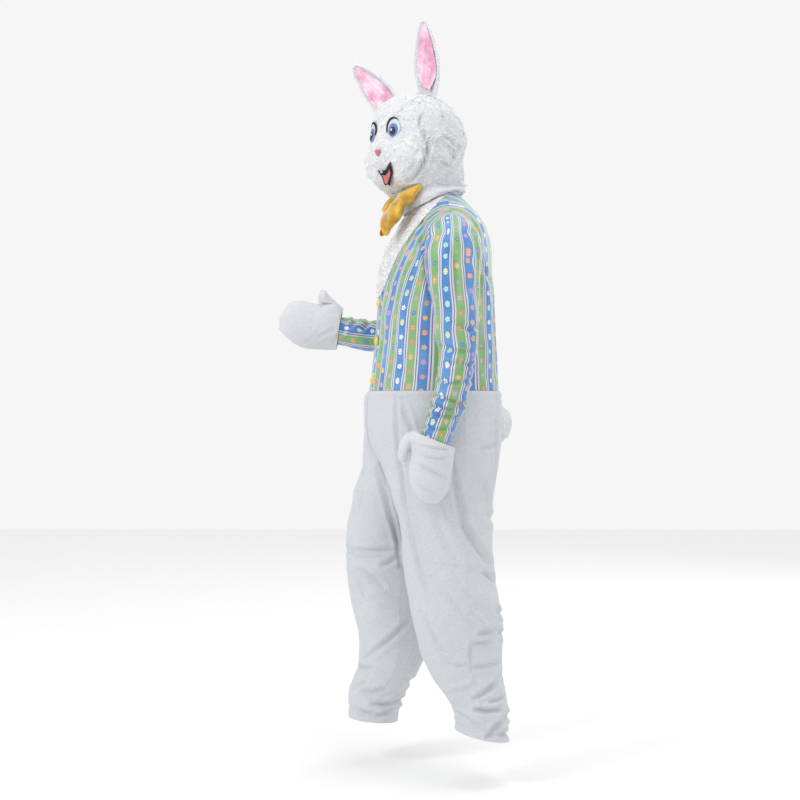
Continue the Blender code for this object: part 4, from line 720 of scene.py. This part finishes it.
# trousers
legs = {
    "levels": 3, "flat": (0.34, 0.48), "share": 0.92, "upShare": 0.2, "deep": 1.8, "behindDeep": 1.5,
    "slackScale": 10.0, "slack": 0.0040, "rippleScale": 26.0, "ripple": 0.0020,
    "waist": -0.516, "waistHold": 0.012, "waistRoll": 0.0026, "rollBelow": 0.009, "rollHalf": 0.006,
    "hemUp": 0.030, "hemHalf": 0.005, "hemDent": 0.0022,  # the elastic in the hem
    "left": (
        (0, -0.01, -0.3), (0, -0.01, -0.72), (0.097, 0.009, -0.82), (0.111, 0.011, -0.866),
        (0.118, 0.020, -0.962), (0.12, 0.028, -1.025), (0.12, 0.041, -1.095), (0.12, 0.048, -1.15),
        (0.118, 0.0575, -1.223), (0.116, 0.080, -1.296), (0.115, 0.103, -1.358), (0.115, 0.104, -1.5),
    ),
    "right": (
        (0, -0.01, -0.3), (0, -0.01, -0.72), (-0.097, -0.103, -0.82), (-0.111, -0.126, -0.866),
        (-0.119, -0.136, -0.962), (-0.122, -0.134, -1.026), (-0.122, -0.131, -1.113), (-0.121, -0.127, -1.194),
        (-0.119, -0.134, -1.272), (-0.118, -0.162, -1.33), (-0.118, -0.181, -1.395), (-0.118, -0.182, -1.5),
    ),
    "leftFolds": (
        (1, 2.0, -5.0, 396, 396, 397.4, 431, 402.6, 485, 406.6, 511, 413.5, 540, 418, 566, 427, 590),
        (1, 2.4, -4.0, 401, 400, 413.5, 434, 420, 452),
        (1, 3.0, -6.5, 450, 462, 457, 494, 463, 525, 478, 548, 489, 564),
        (1, 4.0, 4.5, 441, 500, 449, 530, 460, 552, 470, 566),
        (1, 2.2, -4.0, 485, 478, 487, 500, 489, 519),
        (1, 2.0, -3.0, 481, 449, 490, 447, 497, 445),
        (1, 2.2, -5.5, 484, 573, 491, 577, 498, 585),
        (1, 3.5, 3.5, 444, 576, 462, 602, 488, 628),
        (1, 2.4, -3.5, 420, 612, 432, 633, 449, 664),
        (1, 2.0, -4.5, 480, 634, 487, 632, 494, 631),
        (1, 2.0, -4.0, 474, 644, 482, 643, 490, 643),
        (1, 1.8, -2.5, 451, 664, 460, 666, 469, 664),
        (1, 1.4, -2.5, 470.7, 642, 471, 666),
        (1, 2.0, -3.5, 472, 668, 486, 666, 500, 662),
        (1, 2.2, -5.5, 475, 698, 488, 691, 502, 682),
        (1, 2.2, -4.0, 483, 690, 494, 684, 503, 673),
        (1, 2.0, -4.5, 491, 702, 498, 700, 504, 697),
        (1, 2.2, -7.0, 476, 710, 487, 711.5, 499, 710),
        (1, 2.4, -4.0, 455, 713, 467, 719, 480, 727),
        (1, 2.2, -6.0, 487, 737, 495, 727, 505, 718),
        (1, 2.6, 3.0, 446, 690, 460, 686, 470, 682),
        (-1, 2.4, -5.0, 430, 600, 450, 640, 470, 668),
        (-1, 2.2, -5.0, 460, 690, 480, 694, 500, 690),
        (-1, 2.2, -6.0, 470, 712, 484, 716, 500, 712),
    ),
    "rightFolds": (
        (1, 1.8, -5.0, 371, 393, 374, 437, 378, 471, 390, 516, 397, 540, 400, 566),
        (1, 1.8, -4.0, 379, 402, 383.6, 440, 386, 488, 394, 520, 399, 546),
        (1, 1.6, -3.0, 362, 462, 361.8, 485, 362, 508),
        (1, 2.2, -4.5, 347, 550, 372, 550.5, 398, 549),
        (1, 2.2, -4.5, 382, 565, 390, 562, 398, 556),
        (1, 2.2, -4.0, 351, 572, 358, 584, 365, 596),
        (1, 2.2, -4.0, 359, 570, 372, 577, 384, 586),
        (1, 2.6, 3.0, 372, 590, 384, 598, 396, 600),
        (1, 2.6, -5.0, 408, 620, 400, 630, 389, 640, 365, 659),
        (1, 2.0, -4.0, 356, 667, 364, 668, 372, 668),
        (1, 2.0, -3.5, 357, 685, 366, 682),
        (1, 2.2, -4.5, 362, 693, 374, 692, 386, 688),
        (1, 2.0, -6.0, 373, 704, 384, 704.5, 397, 701),
        (1, 2.0, -4.0, 356, 709, 364, 713, 376, 716),
        (1, 2.0, -4.5, 378, 716, 386, 712, 394, 707),
        (-1, 2.6, -6.0, 372, 400, 380, 440, 384, 500),
        (-1, 2.6, -5.0, 400, 396, 408, 450, 416, 510),
        (-1, 3.0, -5.0, 440, 400, 446, 460, 430, 540),
        (-1, 3.0, -6.0, 470, 460, 450, 520, 430, 560),
        (-1, 2.6, -5.0, 360, 560, 384, 566, 410, 560),
        (-1, 2.6, -5.0, 356, 600, 376, 620, 400, 630),
        (-1, 2.4, -5.0, 360, 670, 376, 664, 400, 668),
        (-1, 2.2, -6.0, 356, 700, 376, 706, 398, 702),
    ),
    "behindFolds": (
        (1, 3.0, -5.0, 10, 214, 17, 250, 12, 288),
        (1, 3.2, -4.0, 50, 214, 53, 262, 46, 304),
        (1, 2.6, -4.0, 31, 214, 35, 246),
        (1, 3.0, -5.0, -14, 214, -18, 254, -11, 296),
        (1, 2.8, -4.5, -36, 214, -40, 256),
        (1, 3.2, -4.0, -55, 214, -54, 268, -48, 312),
        (1, 3.8, -4.2, 14, 334, 35, 343, 60, 335),
        (1, 3.8, -4.4, -12, 326, -36, 338, -62, 328),
        (1, 2.6, -5.5, 26, 434, 45, 441, 66, 432),
        (1, 2.6, -5.0, 30, 454, 50, 462, 68, 452),
        (1, 2.8, -5.5, -24, 420, -46, 428, -68, 421),
        (1, 2.6, -4.5, -30, 442, -50, 449, -66, 440),
        (1, 2.6, -5.0, 24, 538, 46, 547, 68, 540),
        (1, 2.4, -6.0, 27, 560, 48, 566, 70, 559),
        (1, 2.6, -5.0, -24, 522, -47, 530, -68, 524),
        (1, 2.4, -6.0, -26, 544, -48, 551, -70, 545),
        (-1, 3.0, -4.5, 12, 216, 18, 262, 14, 300),
        (-1, 3.0, -4.5, -13, 216, -17, 266, -13, 296),
        (-1, 2.8, -4.0, -44, 500, -50, 520, -46, 544),
    ),
}


def makeTrousers():
    for side in ("left", "right"):
        for part in ("upper", "lower"):
            for half in ("front", "back"):
                node = f"trousers_{part}_{half}_{side}"
                piece = refined(node, f"{part}Leg{half.title()}{side.title()}", legs["levels"])
                points = places(piece)
                outward = fromAxis(points, legs[side])
                outward[:, 2] *= legs["upShare"]
                height = creased(points, outward, legs[f"{side}Folds"], legs["deep"])
                height += creased(points, outward, legs["behindFolds"], legs["behindDeep"], behind=True)
                height += ripples(points, legs["slackScale"], legs["slack"], 3)
                height += ripples(points, legs["rippleScale"], legs["ripple"], 5)
                below = legs["waist"] - points[:, 2]
                height *= np.clip(below / legs["waistHold"], 0, 1)
                height += legs["waistRoll"] * np.exp(-((below - legs["rollBelow"]) / legs["rollHalf"]) ** 2)
                if part == "lower":
                    above = points[:, 2] - points[:, 2].min()
                    height -= legs["hemDent"] * np.exp(-((above - legs["hemUp"]) / legs["hemHalf"]) ** 2)
                moved(piece, outward, height)
                dressed(piece, node, shortPlush)


makeTrousers()
print("trousers done")

# collar, mittens
collar = {
    "flat": (0.16, 0.46), "share": 0.62,
    "slackScale": 30.0, "slack": 0.0020, "rippleScale": 80.0, "ripple": 0.0010,
}
collarFur = {
    "count": 3200, "long": 0.0085, "wide": 0.0015, "lift": 0.45, "seed": 41, "flow": (0, -0.3, -0.9),
    "middle": (0, 0, 0), "upright": True, "slot": "white_plush", "material": furPlush,
}
mitten = {
    "flat": (0.17, 0.22), "share": 0.8, "deep": 1.5, "rippleScale": 40.0, "ripple": 0.0012,
    "planes": {"left": 0.268, "right": -0.285}, "rim": 0.008,  # where the two halves meet
    "leftFolds": (
        (1, 1.4, -3.0, 420, 446, 430, 448, 441, 449.5, 451, 448),
        (1, 1.4, -3.0, 421, 455, 430, 458, 438, 459, 450, 456),
        (1, 1.8, -4.0, 416, 464, 424, 467, 432, 471, 446, 479),
        (1, 1.6, -3.0, 409, 475, 417, 482, 426, 489.5, 442, 496.5),
        (1, 1.2, -2.5, 415, 437, 415.5, 448, 416.5, 456),
        (1, 1.2, -2.0, 410.5, 440, 410, 452, 409.5, 464),
    ),
    "rightFolds": (
        (1, 1.6, -3.0, 318, 306, 326, 312, 336, 314),
        (1, 1.6, -2.5, 312, 343, 322, 335, 334, 330),
        (1, 1.4, -2.0, 334, 342, 338, 336, 342, 330),
        (1, 1.6, -2.0, 300, 345, 310, 340, 320, 330),
    ),
}


def makeCollar():
    for side in ("left", "right"):
        node = f"collar_{side}"
        piece = refined(node, f"collar{side.title()}")
        points = places(piece)
        outward = fromAxis(points, trunkLine)
        height = ripples(points, collar["slackScale"], collar["slack"], 7)
        moved(piece, outward, height + ripples(points, collar["rippleScale"], collar["ripple"], 8))
        grow(f"collarFur{side.title()}", [piece], collarFur, nearTo(["bow_left", "bow_right", "bow_knot"]))
        dressed(piece, node, mittenPlush)


def makeMittens():
    for side, plane in mitten["planes"].items():
        for half in ("palm", "back"):
            node = f"mitten_{side}_{half}"
            piece = refined(node, f"mitten{half.title()}{side.title()}")
            points = places(piece)
            outward = np.zeros_like(points)
            outward[:, 0] = np.tanh((points[:, 0] - plane) / mitten["rim"])
            height = creased(points, outward, mitten[f"{side}Folds"], mitten["deep"])
            height += ripples(points, mitten["rippleScale"], mitten["ripple"], 9) * np.abs(outward[:, 0])
            moved(piece, outward, height)
            dressed(piece, node, mittenPlush)


makeCollar()
makeMittens()
print("collar and mittens done")

# head, ears, face
headFolds = (
    (1, 1.9, -13.0, 423, 133, 428.5, 145, 426, 156.5, 422, 166, 414, 177, 408, 181),
    (1, 1.2, -7.0, 420.4, 116, 419.5, 128),
    (1, 1.5, -7.0, 443, 136, 449, 139, 456, 146),
    (1, 1.5, -6.0, 449, 166, 455, 158, 459, 148),
    (1, 1.4, -5.0, 436, 152, 442, 162, 450, 168),
    (1, 2.0, -6.0, 440, 104, 444, 112, 443, 124),
    (1, 1.4, -4.0, 446, 124, 449, 140),
    (1, 3.0, 3.5, 432, 150, 438, 162, 430, 176),
    (1, 2.4, -4.0, 452, 144, 450, 152, 456, 158),
    (1, 3.0, 3.0, 404, 150, 412, 160, 404, 172),
    (1, 2.0, -3.0, 383, 152, 386, 160, 392, 158),
    (-1, 1.8, -6.0, 400, 134, 394, 150, 402, 170),
    (-1, 2.4, -4.0, 440, 130, 444, 150),
)
head = {
    "middle": (0.028, -0.060), "share": 0.85,
    "slackScale": 30.0, "slack": 0.0034, "rippleScale": 80.0, "ripple": 0.0016,
    "sizes": {
        "head_face": (0.26, 0.30), "head_back_left": (0.24, 0.33),
        "head_back_right": (0.24, 0.33), "head_skirt": (0.62, 0.075),
    },
}


def makeHead():
    shells = {}
    for node, flat in head["sizes"].items():
        name = "head" + node.replace("head", "").replace("_", " ").title().replace(" ", "")
        piece = refined(node, name)
        points = places(piece)
        outward = fromAxis(points, ((*head["middle"], -0.2), (*head["middle"], 0.16)))
        height = creased(points, outward, headFolds) + ripples(points, head["slackScale"], head["slack"], 11)
        moved(piece, outward, height + ripples(points, head["rippleScale"], head["ripple"], 12))
        dressed(piece, node, longPlush)
        shells[node] = piece
    return shells


earFolds = (
    (1, 1.3, 4.0, 426, 30, 424, 60, 422, 88),
    (1, 1.2, -2.5, 430, 40, 431, 64, 432, 84),
    (1, 1.2, 2.5, 420, 66, 424, 80, 430, 92),
    (1, 1.2, 3.0, 360, 70, 372, 84, 386, 96),
    (1, 1.2, -2.5, 362, 82, 372, 96, 378, 104),
    (1, 1.2, 2.5, 384, 92, 378, 98, 374, 104),
)


ear = {
    "plushFlat": (0.085, 0.22), "plushShare": 0.74,
    "satinFlat": (0.066, 0.19), "satinShare": 0.80, "facing": (0.8, -0.6, 0.0),
    "point": 0.050, "narrow": 0.12,  # the satin's pointed foot
    "slim": 0.35, "reach": 0.012, "tipPower": 4,  # and its tip
    "rippleScale": 34.0, "ripple": 0.0040, "lowest": -0.0001,  # the plush lies just behind
}
earFur = {
    "count": 1500, "long": 0.006, "wide": 0.0011, "lift": 0.25, "seed": 43, "flow": (0, 0, 1.0),
    "middle": (0, 0, 0), "facing": -2, "slot": "white_plush", "material": furPlush,
}


def pointedSatin(points):
    middle = points.mean(axis=0)
    along, across = np.linalg.svd(points - middle, full_matrices=False)[2][:2]
    along = along * np.sign(along[2])
    rise = (points - middle) @ along
    share = np.clip((rise - rise.min()) / ear["point"], 0, 1)
    narrow = ear["narrow"] + (1 - ear["narrow"]) * np.sin(share * math.pi / 2)
    tip = np.clip((rise - rise.min()) / np.ptp(rise), 0, 1) ** ear["tipPower"]
    width = narrow * (1 - ear["slim"] * tip)
    points = points + np.outer((points - middle) @ across * (width - 1), across)
    return points + np.outer(ear["reach"] * tip, along)


def makeEars():
    for side in ("left", "right"):
        plushSide = refined(f"ear_{side}_plush", f"earPlush{side.title()}")
        dressed(plushSide, f"ear_{side}_plush", longPlush)
        grow(f"earFur{side.title()}", [plushSide], earFur, nearTo([f"ear_{side}_satin"]))
        satinSide = refined(f"ear_{side}_satin", f"earSatin{side.title()}")
        points = pointedSatin(places(satinSide))
        setPlaces(satinSide, points)
        outward = np.tile(np.array(Vector(ear["facing"]).normalized()), (len(points), 1))
        height = creased(points, outward, earFolds)
        height += np.abs(ripples(points, ear["rippleScale"], ear["ripple"], 13))
        moved(satinSide, outward, np.maximum(height, ear["lowest"]))
        dressed(satinSide, f"ear_{side}_satin", pinkSatin)


trims = {
    "white": ("eye_white", eyeWhite), "iris": ("eye_blue", eyeBlue), "pupil": ("eye_navy", eyeNavy),
    "glint": ("eye_white", toothWhite), "lid": ("black_felt", blackFelt),
}


faceParts = {
    "nose": ("nosePiece", "nose_pink", nosePink), "mouth": ("mouthPiece", "black_felt", blackFelt),
    "tongue": ("tonguePiece", "coral_felt", coralFelt),
    "tooth_upper": ("toothUpperPiece", "eye_white", toothWhite),
    "tooth_lower": ("toothLowerPiece", "eye_white", toothWhite),
}
mouthPulls = ((389.5, 182.0, -3.0, 2.5, 6.0), (393.0, 172.0, 1.5, 0.0, 4.0))  # the open mouth's rounder foot


def makeFace():
    for side in ("left", "right"):
        for part, (slotName, material) in trims.items():
            piece = refined(f"eye_{side}_{part}", f"eye{part.title()}{side.title()}")
            dressed(piece, f"eye_{side}_{part}", material)
    for node, (name, slotName, material) in faceParts.items():
        piece = refined(node, name)
        if node != "nose":
            pulled(piece, mouthPulls)
        dressed(piece, node, material)


bowFolds = (
    (1, 1.0, -9.0, 402, 196, 406, 199, 410, 201),
    (1, 1.5, 5.0, 392, 205, 390, 216, 388, 229),
    (1, 1.4, -5.5, 397, 203, 395.5, 214, 392, 226),
    (1, 1.4, 4.0, 416, 189, 407, 205, 398, 216),
    (1, 1.3, -4.0, 412, 191, 404, 203, 400, 210),
)
bowPulls = {  # pixel on the photo, pull in pixels, reach in pixels: the loops' crisp corners
    "bow_left": (
        (417.5, 189.0, 4.0, -4.5, 5.0),
        (385.0, 231.0, 1.5, 2.5, 4.5),
        (412.0, 200.0, 1.5, -1.0, 4.0),
        (408.0, 210.0, -3.0, -3.0, 6.0),
    ),
    "bow_right": (
        (378.0, 227.0, 7.0, -3.0, 11.0),
        (384.0, 204.0, -1.0, -3.0, 6.0),
    ),
}


bow = {
    "share": 0.72, "facing": (0.62, -0.62, 0.48),
    "rippleScale": 30.0, "ripple": 0.0024, "knotFill": 0.8,
    "loops": {"bow_left": ("bowLoopLeft", (0.15, 0.22)), "bow_right": ("bowLoopRight", (0.105, 0.22))},
}


def makeBow():
    for node, (name, flat) in bow["loops"].items():
        piece = refined(node, name)
        points = places(piece)
        outward = np.tile(np.array(bow["facing"]), (len(points), 1))
        height = creased(points, outward, bowFolds) + ripples(points, bow["rippleScale"], bow["ripple"], 15)
        moved(piece, outward, height)
        pulled(piece, bowPulls[node])
        dressed(piece, node, goldSatin)
    knot = refined("bow_knot", "bowKnot")
    dressed(knot, "bow_knot", goldSatin)


tail = {"puff": 0.006, "rippleScale": 60.0, "ripple": 0.0022, "fill": 0.9}
tailFur = {
    "count": 3000, "long": 0.0065, "wide": 0.0014, "lift": 0.4, "seed": 21, "flow": (0, 0.3, -0.6),
    "slot": "white_plush", "material": furPlush,
}


def makeTailAndButtons():
    pompom = refined("tail", "pompomTail")
    points = places(pompom)
    middle = points.mean(axis=0)
    outward = fromAxis(points, (middle, middle + 0.0001))
    moved(pompom, outward, ripples(points, tail["rippleScale"], tail["ripple"], 17) + tail["puff"])
    grow("tailFur", [pompom], {**tailFur, "middle": middle})
    dressed(pompom, "tail", longPlush)
    for level in ("upper", "middle", "lower"):
        button = refined(f"button_{level}", f"button{level.title()}")
        dressed(button, f"button_{level}", buttonYellow)


headFur = {
    "head_face": {"count": 10400, "long": 0.0085, "lift": 0.24, "seed": 31, "flow": (-0.3, 0.35, -0.85)},
    "head_back_left": {"count": 9200, "long": 0.0095, "lift": 0.26, "seed": 32, "flow": (-0.1, 0.5, -0.8)},
    "head_back_right": {"count": 8000, "long": 0.0095, "lift": 0.26, "seed": 33, "flow": (0.1, 0.5, -0.8)},
    "head_skirt": {"count": 3800, "long": 0.0050, "lift": 0.22, "seed": 34, "flow": (0, 0.1, -1.0)},
}
headFurAll = {"wide": 0.0014, "middle": (*head["middle"], 0.13), "slot": "white_plush", "material": furPlush}


def growHead(shells):
    trimNames = [n for n in nodes if n.startswith(("eye_", "nose", "mouth", "bow_", "ear_"))]
    keepOff = nearTo(trimNames)
    for node, look in headFur.items():
        look = {**headFurAll, **look, "upright": node == "head_skirt"}
        grow(node.replace("head_", "fur").replace("_", ""), [shells[node]], look, keepOff)


shells = makeHead()
growHead(shells)
makeEars()
makeFace()
makeBow()
makeTailAndButtons()
print("head, ears, face, bow, tail and buttons done")

# stage and light
stage = {
    "floor": -1.545, "size": 14.0, "colour": (0.90, 0.90, 0.90), "rough": 0.9,
    "sky": (1.0, 1.0, 1.0), "skyPower": 0.92, "aim": (0, 0, -0.5),
    "lamps": (  # place, size, power
        ((2.4, -3.2, 2.2), 1.2, 60.0),
        ((0.8, 0.6, 3.2), 1.2, 30.0),
        ((-3.0, 2.6, 1.4), 3.2, 30.0),
    ),
}


def addStage():
    bpy.ops.mesh.primitive_plane_add(size=stage["size"], location=(0, 0, stage["floor"]))
    floor = bpy.context.object
    floor.name = "studioFloor"
    material, _, finish = shader("studioFloor")
    finish.inputs["Base Color"].default_value = (*stage["colour"], 1)
    finish.inputs["Roughness"].default_value = stage["rough"]
    floor.data.materials.append(material)
    world = bpy.data.worlds.new("studio")
    bpy.context.scene.world = world
    world.use_nodes = True
    world.node_tree.nodes["Background"].inputs[0].default_value = (*stage["sky"], 1)
    world.node_tree.nodes["Background"].inputs[1].default_value = stage["skyPower"]
    for place, size, power in stage["lamps"]:
        bpy.ops.object.light_add(type="AREA", location=place)
        lamp = bpy.context.object
        lamp.data.size = size
        lamp.data.energy = power
        aim = Vector(stage["aim"]) - Vector(place)
        lamp.rotation_euler = aim.to_track_quat("-Z", "Y").to_euler()


addStage()
view = bpy.context.scene.view_settings
view.view_transform = "Standard"
print("stage done")
